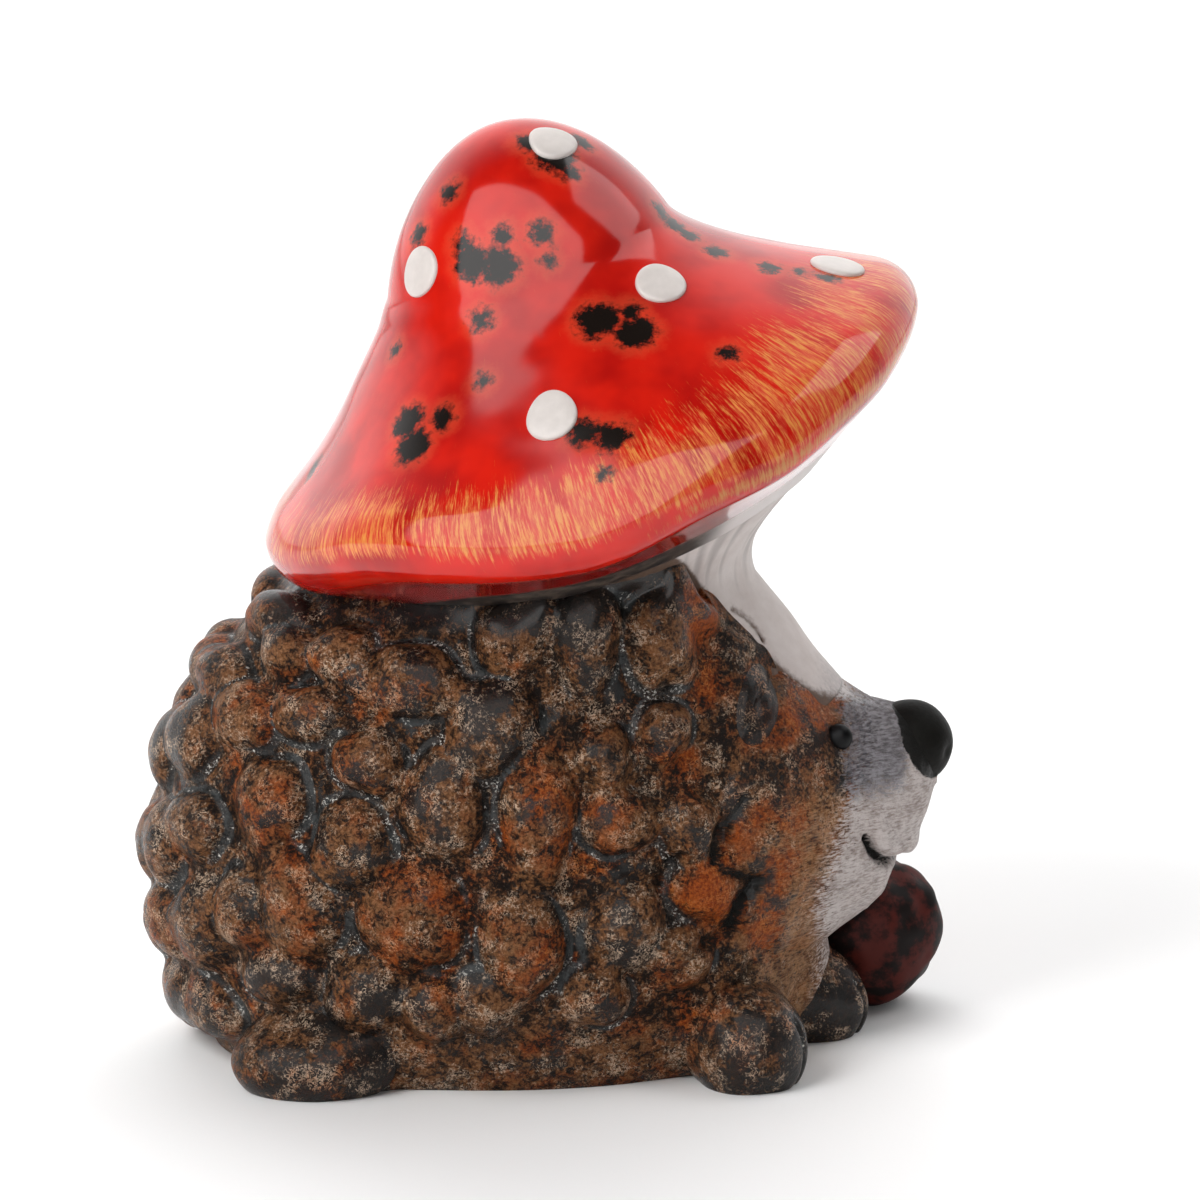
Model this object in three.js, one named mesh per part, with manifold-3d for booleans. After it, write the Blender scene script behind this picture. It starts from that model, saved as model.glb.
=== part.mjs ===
// Ceramic hedgehog with a fly agaric toadstool growing from its shoulders and an apple at its paw.
// Millimetres, +Z up. The hedgehog faces +X and rests on Z = 0.

import * as THREE from "three";
import { mergeVertices } from "three/addons/utils/BufferGeometryUtils.js";
import Module from "manifold-3d";

const wasm = await Module();
wasm.setup();

const { degToRad, lerp, smoothstep } = THREE.MathUtils;

// Fit between two pieces: the film of slip that lutes them together
const SLIP_SEAM = 0.3;

// Body under the spine coat: an oval loaf, widest at the belly and fuller at the chest than at the tail
const COAT_HALF_LENGTH = 54;
const COAT_HALF_WIDTH = 36;
const BELLY_HEIGHT = 30;
const CROWN_RISE = 57;
const TAIL_FULLNESS = 2;
const CHEST_FULLNESS = 2.8;
const FOOT_DRAW_IN = 0.16;
const DRAIN_HOLE_RADIUS = 6;
const CASTING_WALL = 6;

// Bobbles of the spine coat
const BOBBLE_PROUD = 3.8;
const BOBBLE_DEPTH = 6;
const BOBBLE_OVERLAP = 1.1;
const TAIL_PROUD_SHARE = 1;
const FULL_PROUD_ANGLE = 35;

// Bobbles that both flanks carry, as degrees from the tail round to the cheek, distance down from
// the crown, width and height; then those on the middle of the tail
const FLANK_BOBBLES = [
  [25, 15, 19, 9], [16, 24.5, 19, 10], [40, 19, 12, 9], [56, 18, 12, 10], [74, 21, 17, 13],
  [95, 15, 13, 12], [110, 17, 11, 14], [125, 18, 12, 13], [120, 10, 16, 7], [135, 13, 13, 9],
  [18, 34, 18, 14], [36, 29, 14, 12], [53, 27, 13, 10], [68, 33, 12, 11], [90, 27, 15, 16],
  [110, 32, 10, 11], [122, 29, 10, 10], [15, 52, 16, 14], [29, 47, 14, 12], [49, 41, 13, 16],
  [66, 46, 14, 15], [82, 39, 13, 19], [98, 41, 12, 24], [112, 42, 13, 12], [125, 44, 11, 12],
  [16, 65, 15, 13], [31, 63, 14, 16], [43, 59, 10, 13], [56, 57, 16, 18], [77, 57, 17, 19],
  [95, 61, 14, 20], [113, 59, 14, 14], [129, 54, 14, 12], [12, 78, 18, 13], [27, 78, 17, 12],
  [50, 69, 13, 10], [68, 70, 13, 14], [80, 72, 10, 11], [89, 71, 10, 12], [108, 70, 11, 12],
  [123, 65, 11, 11],
];
const TAIL_BOBBLES = [
  [0, 25, 15, 10], [0, 38.5, 16, 14], [0, 54.5, 16, 14], [0, 68, 14, 12], [0, 81, 16, 12],
];

// Head: sections from the neck to the muzzle, as distance ahead of the coat's front,
// underside height, ridge height and half width
const HEAD_SECTIONS = [
  { ahead: -34, low: 10, high: 60, half: 19 },
  { ahead: -24, low: 8, high: 64, half: 24 },
  { ahead: -16, low: 8, high: 69, half: 27.5 },
  { ahead: -8, low: 12, high: 66, half: 25 },
  { ahead: 0, low: 18, high: 59.5, half: 18.5 },
  { ahead: 6, low: 23.5, high: 55.6, half: 13.6 },
  { ahead: 12, low: 31, high: 54.6, half: 9.6 },
  { ahead: 16, low: 38.5, high: 52, half: 6 },
];
const MUZZLE_TIP_AHEAD = 17.5;
const MUZZLE_TIP_HEIGHT = 46;
const MUZZLE_TIP_RADIUS = 1;
const HEAD_SQUARENESS = 2.3;

// Nose, eyes, ears and mouth
const NOSE_RADIUS = 7;
const NOSE_AHEAD = 12.5;
const NOSE_BELOW_RIDGE = 5.6;
const EYE_RADIUS = 2.1;
const EYE_AHEAD = 0.5;
const EYE_BELOW_RIDGE = 6.2;
const EYE_SET_IN = 0.9;
const EAR_LENGTH = 8;
const EAR_HEIGHT = 12;
const EAR_THICKNESS = 8;
const EAR_PROUD = 2.8;
const EAR_ANGLE = 144;
const EAR_BELOW_CROWN = 27;
const MOUTH_GROOVE_RADIUS = 1.2;
const MOUTH_CORNER_AHEAD = 6.5;
const MOUTH_CORNER_ABOVE_CHIN = 11.4;
const MOUTH_FRONT_AHEAD = 11.5;
const MOUTH_ROUNDNESS = 0.75;

// Paws: centre of each, then half length, half width and half height
const HIND_PAW = { ahead: -82, aside: 28, height: 4.2, length: 13.3, width: 9.5, rise: 7.4 };
const NEAR_FORE_PAW = { ahead: -13.5, aside: 25, height: 5.6, length: 9.3, width: 9.2, rise: 9.9 };
const FAR_FORE_PAW = { ahead: -4.5, aside: 1, height: 4.5, length: 11, width: 8.5, rise: 9 };

// Apple in front of the far fore paw
const APPLE_RADIUS = 13;
const APPLE_AHEAD = 6;
const APPLE_ASIDE = 18;
const APPLE_FLAT = 0.6;
const APPLE_DIMPLE = 3;
const APPLE_DIMPLE_TIGHTNESS = 6;

// Toadstool: where the middle of its rim sits over the coat, and how far it leans back
const RIM_CENTRE_AHEAD = -39.2;
const RIM_ABOVE_CROWN = 14.4;
const TOADSTOOL_LEAN = degToRad(22.3);

// Cap, in the toadstool's own frame: axis on Z, rim plane at Z = 0
const CAP_RADIUS = 54.5;
const CAP_HEIGHT = 49.3;
const CAP_WAIST_RADIUS = 23.7;
const CAP_WAIST_HEIGHT = 27.6;
const RIM_ROLL = 7.2;
const RIM_TUCK = degToRad(55);
const BRIM_SLOPE = degToRad(33.2);
const BRIM_STRAIGHT = 12.8;
const CROWN_ROUND = 0.47;
const SHOULDER = { radius: 0.83, rise: 0.5 };
const WAIST_SWEEP = { radius: 1.05, rise: -0.26 };
const CAP_FLOOR_DEPTH = 15.5;

// The brim droops at both flanks and reaches out at the front, the crown nods forward and the back
// of the bell sways in over the rim and out over the waist
const BRIM_DROOP = 6.7;
const DROOP_FROM_RADIUS = 25;
const DROOP_DIRECTION = degToRad(80);
const DROOP_CURVE = 1.5;
const CROWN_NOD = 3.4;
const BRIM_REACH = 1.5;
const BRIM_REACH_CURVE = 3;
const BACK_SWAY = 1.6;
const BACK_SWAY_HEIGHT = 16;
const BACK_SWAY_SPAN = 28;

// Stem: collar under the cap, neck, flaring foot, and the tenon that keys it to the cap
const COLLAR_RADIUS = 32.8;
const COLLAR_EDGE = 2.5;
const NECK_RADIUS = 15.7;
const NECK_DEPTH = 33;
const NECK_FLARE = { radius: 0.37, start: 0.62, end: 0.45 };
const FOOT_RADIUS = 21.5;
const FOOT_DEPTH = 55;
const TENON_RADIUS = 11;
const TENON_LENGTH = 16;

// Enamel dots on the cap: degrees round from the front, turning to the far side, and
// distance in from the rim
const DOT_RADIUS = 4;
const DOT_THICKNESS = 0.8;
const DOTS = [
  { name: "crown", angle: -38, inset: 42 },
  { name: "near_left", angle: -138, inset: 33.9 },
  { name: "near_right", angle: -48, inset: 24.6 },
  { name: "near_low", angle: -92, inset: 14.3 },
  { name: "brim", angle: -8, inset: 8.6 },
  { name: "far_right", angle: 50, inset: 24.5 },
  { name: "far_low", angle: 90, inset: 13.5 },
  { name: "far_left", angle: 122, inset: 29.5 },
  { name: "back", angle: 150, inset: 11.5 },
];

// Facets
const ROUND_STEPS = 36;
const LOAF_ROUND_STEPS = 28;
const LOAF_STEPS = 8;
const LOAF_TOP_RING = 0.94;
const BOBBLE_ROUND_STEPS = 8;
const BOBBLE_STEPS = 4;
const CURVE_STEPS = 5;
const HEAD_STATIONS = 12;
const HEAD_ROUND_STEPS = 20;
const BALL_STEPS = 12;
const GROOVE_STEPS = 12;
const GROOVE_CURVE_STEPS = 4;
const DOT_STEPS = 14;
const WELD = 1e-4;
const FLOOR_SPAN = 400;

const NEAR = -1;
const FAR = 1;
const crownHeight = BELLY_HEIGHT + CROWN_RISE;

// Solids and joins

function solid(geometry, matrix = new THREE.Matrix4()) {
  const bare = geometry.clone().applyMatrix4(matrix);
  bare.deleteAttribute("normal");
  bare.deleteAttribute("uv");
  const welded = mergeVertices(bare, WELD);
  const corners = welded.index.array;
  const vertProperties = new Float32Array(welded.attributes.position.array);
  const triangles = [];
  let volume = 0;
  for (let i = 0; i < corners.length; i += 3) {
    const [a, b, c] = [corners[i], corners[i + 1], corners[i + 2]];
    if (a === b || b === c || c === a) continue;
    triangles.push(a, b, c);
    const [p, q, r] = [a, b, c].map((n) => new THREE.Vector3().fromArray(vertProperties, 3 * n));
    volume += p.dot(q.cross(r));
  }
  if (volume < 0) triangles.reverse();
  const triVerts = new Uint32Array(triangles);
  return new wasm.Manifold(new wasm.Mesh({ numProp: 3, vertProperties, triVerts }));
}

function geometryOf(body) {
  const { vertProperties, triVerts } = body.getMesh();
  const geometry = new THREE.BufferGeometry();
  geometry.setAttribute("position", new THREE.BufferAttribute(vertProperties, 3));
  geometry.setIndex(new THREE.BufferAttribute(triVerts, 1));
  geometry.computeVertexNormals();
  return geometry;
}

function join(bodies) {
  return bodies.reduce((whole, body) => whole.add(body));
}

function cut(body, tools) {
  return tools.reduce((rest, tool) => rest.subtract(tool), body);
}

function at(x, y, z) {
  return new THREE.Matrix4().makeTranslation(x, y, z);
}

function ball(halfX, halfY, halfZ, around = BALL_STEPS, along = BALL_STEPS / 2 + 1) {
  const geometry = new THREE.SphereGeometry(1, around, along);
  return geometry.rotateX(Math.PI / 2).scale(halfX, halfY, halfZ);
}

function turned(profile, steps = ROUND_STEPS) {
  return new THREE.LatheGeometry(profile, steps).rotateX(Math.PI / 2);
}

// A skin over closed rings of points, with a fan over each end
function loft(rings) {
  const count = rings[0].length;
  const points = rings.flat();
  const faces = [];
  for (let ring = 0; ring + 1 < rings.length; ring += 1) {
    for (let i = 0; i < count; i += 1) {
      const a = ring * count + i;
      const b = ring * count + ((i + 1) % count);
      faces.push(a, b, a + count, b, b + count, a + count);
    }
  }
  for (const [ring, flip] of [[0, true], [rings.length - 1, false]]) {
    const centre = new THREE.Vector3();
    rings[ring].forEach((point) => centre.addScaledVector(point, 1 / count));
    const hub = points.push(centre) - 1;
    for (let i = 0; i < count; i += 1) {
      const a = ring * count + i;
      const b = ring * count + ((i + 1) % count);
      faces.push(...(flip ? [hub, b, a] : [hub, a, b]));
    }
  }
  const geometry = new THREE.BufferGeometry().setFromPoints(points);
  return geometry.setIndex(faces);
}

// Everything under the surface that the figurine stands on
const below = solid(new THREE.BoxGeometry(FLOOR_SPAN, FLOOR_SPAN, FLOOR_SPAN), at(0, 0, -FLOOR_SPAN / 2));

// Spine coat

// A point of the loaf at a height, turned round from the tail
function loafPoint(turn, height) {
  const fullness = lerp(TAIL_FULLNESS, CHEST_FULLNESS, (1 - Math.cos(turn)) / 2);
  const round = (value) => (1 - value ** fullness) ** (1 / fullness);
  const reach = height > BELLY_HEIGHT ? CROWN_RISE : BELLY_HEIGHT / round(1 - FOOT_DRAW_IN);
  const share = round(Math.abs(height - BELLY_HEIGHT) / reach);
  const x = -COAT_HALF_LENGTH * share * Math.cos(turn);
  const y = COAT_HALF_WIDTH * share * Math.sin(turn);
  return new THREE.Vector3(x, y, height);
}

function loaf() {
  const rings = [];
  for (let i = 0; i <= LOAF_STEPS; i += 1) {
    const height = crownHeight * Math.sin((Math.PI / 2) * LOAF_TOP_RING * (i / LOAF_STEPS));
    const ring = [];
    for (let k = 0; k < LOAF_ROUND_STEPS; k += 1) {
      ring.push(loafPoint((-2 * Math.PI * k) / LOAF_ROUND_STEPS, height));
    }
    rings.push(ring);
  }
  return loft(rings);
}

// A place on the loaf, in degrees from the tail, with the directions along, up and out of its surface
function onLoaf(angle, height, side) {
  const turn = side * degToRad(angle);
  const step = 0.01;
  const point = loafPoint(turn, height);
  const along = loafPoint(turn + step, height).sub(point).normalize();
  const upward = loafPoint(turn, height + step).sub(point).normalize();
  const normal = upward.cross(along).normalize();
  return { point, along, upward: normal.clone().cross(along), normal };
}

// A pebble lying on the loaf, given its size along, up and out and how far it stands proud
function pebble({ point, along, upward, normal }, half, proud, geometry) {
  const place = new THREE.Matrix4().makeBasis(along, upward, normal);
  place.setPosition(point.clone().addScaledVector(normal, proud - half[2]));
  return solid(geometry.scale(...half), place);
}

// One bobble pressed on the loaf; those near the tail are flatter
function bobble([angle, down, width, tall], side) {
  const place = onLoaf(angle, crownHeight - down, side);
  const half = [(width * BOBBLE_OVERLAP) / 2, (tall * BOBBLE_OVERLAP) / 2, BOBBLE_DEPTH];
  const fullness = lerp(TAIL_PROUD_SHARE, 1, smoothstep(angle, 0, FULL_PROUD_ANGLE));
  return pebble(place, half, BOBBLE_PROUD * fullness, ball(1, 1, 1, BOBBLE_ROUND_STEPS, BOBBLE_STEPS));
}

function coatForm() {
  const flanks = [NEAR, FAR].flatMap((side) => FLANK_BOBBLES.map((row) => bobble(row, side)));
  const tail = TAIL_BOBBLES.map((row) => bobble(row, NEAR));
  return join([solid(loaf()), ...flanks, ...tail]).subtract(below);
}

function earForm(side, grow) {
  const place = onLoaf(EAR_ANGLE, crownHeight - EAR_BELOW_CROWN, side);
  const half = [EAR_LENGTH, EAR_HEIGHT, EAR_THICKNESS].map((size) => size / 2 + grow);
  return pebble(place, half, EAR_PROUD + grow, ball(1, 1, 1));
}

// Head

function headForm(grow) {
  const through = (key) => new THREE.SplineCurve(
    HEAD_SECTIONS.map((section) => new THREE.Vector2(COAT_HALF_LENGTH + section.ahead, section[key])),
  );
  const [low, high, half] = [through("low"), through("high"), through("half")];
  const rings = [];
  for (let i = 0; i <= HEAD_STATIONS; i += 1) {
    const t = i / HEAD_STATIONS;
    const x = low.getPoint(t).x - (i === 0 ? grow : 0);
    const [bottom, top] = [low.getPoint(t).y - grow, high.getPoint(t).y + grow];
    rings.push(ovalRing(x, (bottom + top) / 2, half.getPoint(t).y + grow, (top - bottom) / 2));
  }
  const tip = COAT_HALF_LENGTH + MUZZLE_TIP_AHEAD + grow;
  rings.push(ovalRing(tip, MUZZLE_TIP_HEIGHT, MUZZLE_TIP_RADIUS, MUZZLE_TIP_RADIUS));
  return solid(loft(rings));
}

// A squarish oval across the head at one station
function ovalRing(x, centreHeight, halfWidth, halfHeight) {
  const soften = (value) => Math.sign(value) * Math.abs(value) ** (2 / HEAD_SQUARENESS);
  const ring = [];
  for (let i = 0; i < HEAD_ROUND_STEPS; i += 1) {
    const turn = (2 * Math.PI * i) / HEAD_ROUND_STEPS;
    const y = halfWidth * soften(Math.cos(turn));
    const z = centreHeight + halfHeight * soften(Math.sin(turn));
    ring.push(new THREE.Vector3(x, y, z));
  }
  return ring;
}

// Underside, ridge and half width of the head at a place along it
function headAt(ahead) {
  const n = HEAD_SECTIONS.findIndex((section) => section.ahead > ahead);
  const [a, b] = [HEAD_SECTIONS[n - 1], HEAD_SECTIONS[n]];
  const t = (ahead - a.ahead) / (b.ahead - a.ahead);
  return { low: lerp(a.low, b.low, t), high: lerp(a.high, b.high, t), half: lerp(a.half, b.half, t) };
}

// A point of the head's side, for what is set into the cheek
function cheekAt(ahead, height) {
  const { low, high, half } = headAt(ahead);
  const rise = Math.abs((2 * height - low - high) / (high - low));
  const aside = half * (1 - rise ** HEAD_SQUARENESS) ** (1 / HEAD_SQUARENESS);
  return new THREE.Vector3(COAT_HALF_LENGTH + ahead, aside, height);
}

function noseForm(grow) {
  const radius = NOSE_RADIUS + grow;
  const height = headAt(NOSE_AHEAD).high - NOSE_BELOW_RIDGE;
  return solid(ball(radius, radius, radius), at(COAT_HALF_LENGTH + NOSE_AHEAD, 0, height));
}

function eyeForm(side, grow) {
  const cheek = cheekAt(EYE_AHEAD, headAt(EYE_AHEAD).high - EYE_BELOW_RIDGE);
  const radius = EYE_RADIUS + grow;
  return solid(ball(radius, radius, radius), at(cheek.x, side * (cheek.y - EYE_SET_IN), cheek.z));
}

// The smile: a round groove from one corner of the mouth round the muzzle to the other
function mouthGroove() {
  const corner = cheekAt(MOUTH_CORNER_AHEAD, headAt(MOUTH_CORNER_AHEAD).low + MOUTH_CORNER_ABOVE_CHIN);
  const front = new THREE.Vector3(COAT_HALF_LENGTH + MOUTH_FRONT_AHEAD, 0, headAt(MOUTH_FRONT_AHEAD).low);
  const lip = corner.clone().lerp(front, 0.5).setY(corner.y * MOUTH_ROUNDNESS);
  const mirrored = (point) => point.clone().setY(-point.y);
  const path = new THREE.CatmullRomCurve3([mirrored(corner), mirrored(lip), front, lip, corner]);
  const section = new THREE.Shape().absarc(0, 0, MOUTH_GROOVE_RADIUS, 0, 2 * Math.PI);
  const sweep = { extrudePath: path, steps: GROOVE_STEPS, curveSegments: GROOVE_CURVE_STEPS };
  return solid(new THREE.ExtrudeGeometry(section, sweep));
}

// Paws and apple

function pawForm(paw, side, grow) {
  const half = [paw.length + grow, paw.width + grow, paw.rise + grow];
  const place = at(COAT_HALF_LENGTH + paw.ahead, side * paw.aside, paw.height);
  return solid(ball(...half), place).subtract(below);
}

// A round fruit with a dimple in its top, cut flat where it stands
function appleForm(grow) {
  const profile = [];
  const radius = APPLE_RADIUS + grow;
  for (let i = 0; i <= BALL_STEPS; i += 1) {
    const turn = -Math.PI / 2 + (Math.PI * i) / BALL_STEPS;
    const dimple = APPLE_DIMPLE * Math.max(0, Math.sin(turn)) ** APPLE_DIMPLE_TIGHTNESS;
    const onAxis = i === 0 || i === BALL_STEPS;
    profile.push(new THREE.Vector2(onAxis ? 0 : radius * Math.cos(turn), radius * Math.sin(turn) - dimple));
  }
  const place = at(COAT_HALF_LENGTH + APPLE_AHEAD, APPLE_ASIDE, APPLE_RADIUS - APPLE_FLAT);
  return solid(turned(profile, BALL_STEPS + 2), place).subtract(below);
}

// Toadstool, in its own frame

// Outline of the cap from the crown over the rolled rim to the edge of the stem's collar
function capOutline() {
  const rollCentre = CAP_RADIUS - RIM_ROLL;
  const outer = new THREE.Vector2(Math.sin(BRIM_SLOPE), Math.cos(BRIM_SLOPE));
  const brim = new THREE.Vector2(rollCentre, 0).addScaledVector(outer, RIM_ROLL);
  const uphill = new THREE.Vector2(-outer.y, outer.x);
  const lead = brim.clone().addScaledVector(uphill, BRIM_STRAIGHT);
  const rise = (share) => lerp(CAP_WAIST_HEIGHT, CAP_HEIGHT, share);
  const path = new THREE.Path();
  path.moveTo(0, CAP_HEIGHT);
  path.bezierCurveTo(
    CAP_WAIST_RADIUS * CROWN_ROUND, CAP_HEIGHT,
    CAP_WAIST_RADIUS * SHOULDER.radius, rise(SHOULDER.rise),
    CAP_WAIST_RADIUS, CAP_WAIST_HEIGHT,
  );
  path.bezierCurveTo(
    CAP_WAIST_RADIUS * WAIST_SWEEP.radius, rise(WAIST_SWEEP.rise),
    lead.x, lead.y,
    brim.x, brim.y,
  );
  path.absarc(rollCentre, 0, RIM_ROLL, Math.PI / 2 - BRIM_SLOPE, -RIM_TUCK, true);
  path.lineTo(COLLAR_RADIUS, -CAP_FLOOR_DEPTH - COLLAR_EDGE);
  return path.getPoints(CURVE_STEPS);
}

// The same outline moved out along its normals
function offset(points, distance) {
  return points.map((point, i) => {
    const last = points[Math.max(i - 1, 0)];
    const next = points[Math.min(i + 1, points.length - 1)];
    const along = next.clone().sub(last).normalize();
    const moved = point.clone().add(new THREE.Vector2(-along.y, along.x).multiplyScalar(distance));
    return i === 0 ? new THREE.Vector2(0, point.y + distance) : moved;
  });
}

// Where a point of the turned cap goes when the soft clay moves
function draped(point) {
  const angle = Math.atan2(point.y, point.x);
  const spread = (Math.hypot(point.x, point.y) - DROOP_FROM_RADIUS) / (CAP_RADIUS - DROOP_FROM_RADIUS);
  const outer = Math.max(0, spread);
  const flank = Math.max(0, Math.cos(Math.abs(angle) - DROOP_DIRECTION)) ** 2;
  const front = Math.max(0, Math.cos(angle)) ** BRIM_REACH_CURVE * smoothstep(point.z, -RIM_ROLL, 0);
  const back = Math.max(0, -Math.cos(angle));
  const sway = Math.min(Math.max((point.z - BACK_SWAY_HEIGHT) / BACK_SWAY_SPAN, -0.5), 0.5);
  const swayed = BACK_SWAY * back * Math.sin(2 * Math.PI * sway);
  const reach = BRIM_REACH * front * outer ** BRIM_REACH_CURVE + swayed;
  const nod = CROWN_NOD * (Math.max(0, point.z) / CAP_HEIGHT) ** 2;
  const droop = BRIM_DROOP * flank * outer ** DROOP_CURVE;
  const x = point.x + nod + reach * Math.cos(angle);
  return new THREE.Vector3(x, point.y + reach * Math.sin(angle), point.z - droop);
}

function capForm(grow) {
  const outline = offset(capOutline(), grow);
  const geometry = turned([...outline, new THREE.Vector2(0, outline.at(-1).y)]);
  const corners = geometry.attributes.position;
  for (let i = 0; i < corners.count; i += 1) {
    const point = draped(new THREE.Vector3().fromBufferAttribute(corners, i));
    corners.setXYZ(i, point.x, point.y, point.z);
  }
  return geometry;
}

function stemForm(grow) {
  const top = TENON_LENGTH - CAP_FLOOR_DEPTH + grow;
  const seat = -CAP_FLOOR_DEPTH - SLIP_SEAM + grow;
  const underCollar = -CAP_FLOOR_DEPTH - COLLAR_EDGE - grow;
  const neck = NECK_RADIUS + grow;
  const path = new THREE.Path();
  path.moveTo(0, top);
  path.lineTo(TENON_RADIUS + grow, top);
  path.lineTo(TENON_RADIUS + grow, seat);
  path.lineTo(COLLAR_RADIUS + grow, seat);
  path.lineTo(COLLAR_RADIUS + grow, underCollar);
  path.bezierCurveTo(
    lerp(neck, COLLAR_RADIUS, NECK_FLARE.radius), lerp(-NECK_DEPTH, underCollar, NECK_FLARE.start),
    neck, lerp(-NECK_DEPTH, underCollar, NECK_FLARE.end),
    neck, -NECK_DEPTH,
  );
  path.lineTo(FOOT_RADIUS + grow, -FOOT_DEPTH - grow);
  path.lineTo(0, -FOOT_DEPTH - grow);
  return turned(path.getPoints(CURVE_STEPS));
}

// A spot of enamel lying on the cap
function dotForm({ angle, inset }, upper, under) {
  const outline = capOutline();
  const radius = CAP_RADIUS - inset;
  const n = outline.findIndex((point) => point.x > radius);
  const [a, b] = [outline[n - 1], outline[n]];
  const height = lerp(a.y, b.y, (radius - a.x) / (b.x - a.x));
  const turn = degToRad(angle);
  const out = new THREE.Vector3(Math.cos(turn), Math.sin(turn), 0);
  const normal = new THREE.Vector3(0, 0, b.x - a.x).addScaledVector(out, a.y - b.y).normalize();
  const place = new THREE.Matrix4().lookAt(normal, new THREE.Vector3(), new THREE.Vector3(0, 0, 1));
  place.setPosition(draped(out.multiplyScalar(radius).setZ(height)));
  const plug = new THREE.CylinderGeometry(DOT_RADIUS, DOT_RADIUS, 2 * DOT_RADIUS, DOT_STEPS);
  return solid(plug.rotateX(Math.PI / 2), place).intersect(upper).subtract(under);
}

// Assembly

const toadstool = new THREE.Group();
toadstool.position.set(COAT_HALF_LENGTH + RIM_CENTRE_AHEAD, 0, crownHeight + RIM_ABOVE_CROWN);
toadstool.rotation.y = -TOADSTOOL_LEAN;
toadstool.updateMatrix();

const paws = {
  hind_paw_near: { paw: HIND_PAW, side: NEAR },
  hind_paw_far: { paw: HIND_PAW, side: FAR },
  fore_paw_near: { paw: NEAR_FORE_PAW, side: NEAR },
  fore_paw_far: { paw: FAR_FORE_PAW, side: FAR },
};
const pawSockets = Object.values(paws).map(({ paw, side }) => pawForm(paw, side, SLIP_SEAM));
const earSockets = [NEAR, FAR].map((side) => earForm(side, SLIP_SEAM));
const eyeSockets = [NEAR, FAR].map((side) => eyeForm(side, SLIP_SEAM));
const appleSocket = appleForm(SLIP_SEAM);
const stemSocket = solid(stemForm(SLIP_SEAM), toadstool.matrix);
const capSeat = solid(capForm(SLIP_SEAM), toadstool.matrix);
const drainHole = solid(
  new THREE.CylinderGeometry(DRAIN_HOLE_RADIUS, DRAIN_HOLE_RADIUS, 2 * CASTING_WALL).rotateX(Math.PI / 2),
);

const bodyCuts = [stemSocket, appleSocket, ...pawSockets, ...earSockets];
const coat = cut(coatForm(), [...bodyCuts, capSeat, headForm(SLIP_SEAM), drainHole]);
const head = cut(headForm(0), [...bodyCuts, noseForm(SLIP_SEAM), mouthGroove(), ...eyeSockets]);
const stem = cut(solid(stemForm(0), toadstool.matrix), eyeSockets);
const cap = solid(capForm(0)).subtract(solid(stemForm(SLIP_SEAM)));
const dotTop = solid(capForm(SLIP_SEAM + DOT_THICKNESS));
const dotBed = solid(capForm(SLIP_SEAM));

function piece(name, body, color, roughness) {
  const material = new THREE.MeshStandardMaterial({ color, roughness, metalness: 0 });
  const mesh = new THREE.Mesh(geometryOf(body), material);
  mesh.name = name;
  return mesh;
}

const figurine = new THREE.Group();
figurine.add(piece("spine_coat", coat, 0x5a4334, 0.7));
figurine.add(piece("head", head, 0x8a6a52, 0.8));
figurine.add(piece("nose", noseForm(0), 0x1c1c1a, 0.45));
for (const [side, label] of [[NEAR, "near"], [FAR, "far"]]) {
  figurine.add(piece(`eye_${label}`, eyeForm(side, 0), 0x0a0a0a, 0.2));
  figurine.add(piece(`ear_${label}`, cut(earForm(side, 0), [stemSocket]), 0x2c2a2a, 0.75));
}
for (const [name, { paw, side }] of Object.entries(paws)) {
  figurine.add(piece(name, cut(pawForm(paw, side, 0), [appleSocket]), 0x4a3c34, 0.75));
}
figurine.add(piece("apple", appleForm(0), 0x5a2024, 0.6));
figurine.add(piece("toadstool_stem", stem, 0xcfc4c0, 0.85));
toadstool.add(piece("toadstool_cap", cap, 0xc81e10, 0.12));
for (const dot of DOTS) {
  toadstool.add(piece(`dot_${dot.name}`, dotForm(dot, dotTop, dotBed), 0xebe4e1, 0.3));
}
figurine.add(toadstool);

// The origin is the middle of the footprint, on the surface that the figurine stands on
const extent = new THREE.Box3().setFromObject(figurine);
const middle = extent.getCenter(new THREE.Vector3());
figurine.position.set(-middle.x, -middle.y, -extent.min.z);

export default figurine;
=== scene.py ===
# %% [markdown]
# # A hedgehog under a toadstool
# The figurine is earthenware, cast from slip in plaster moulds. The hedgehog's coat is a skin of
# clay bobbles, rubbed with brown oxides. A red toadstool grows from its shoulders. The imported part
# comes first and never changes: it says where each piece is, and this lesson gives each piece its skin.

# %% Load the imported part
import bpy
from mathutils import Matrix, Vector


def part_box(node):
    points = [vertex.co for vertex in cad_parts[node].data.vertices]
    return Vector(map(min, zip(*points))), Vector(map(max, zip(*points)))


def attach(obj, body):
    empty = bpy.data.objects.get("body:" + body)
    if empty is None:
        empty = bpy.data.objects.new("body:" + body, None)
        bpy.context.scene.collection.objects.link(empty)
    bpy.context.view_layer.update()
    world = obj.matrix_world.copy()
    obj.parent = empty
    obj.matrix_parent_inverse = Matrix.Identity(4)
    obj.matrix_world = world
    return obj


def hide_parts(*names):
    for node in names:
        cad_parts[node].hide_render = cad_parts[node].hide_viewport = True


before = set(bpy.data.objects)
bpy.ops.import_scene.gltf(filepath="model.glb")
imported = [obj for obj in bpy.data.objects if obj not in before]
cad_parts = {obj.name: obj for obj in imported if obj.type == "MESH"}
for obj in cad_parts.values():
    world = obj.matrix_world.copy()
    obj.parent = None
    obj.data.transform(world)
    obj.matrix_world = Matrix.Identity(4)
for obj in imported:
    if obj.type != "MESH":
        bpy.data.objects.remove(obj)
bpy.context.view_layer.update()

print("pieces to dress:", len(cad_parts))

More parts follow.
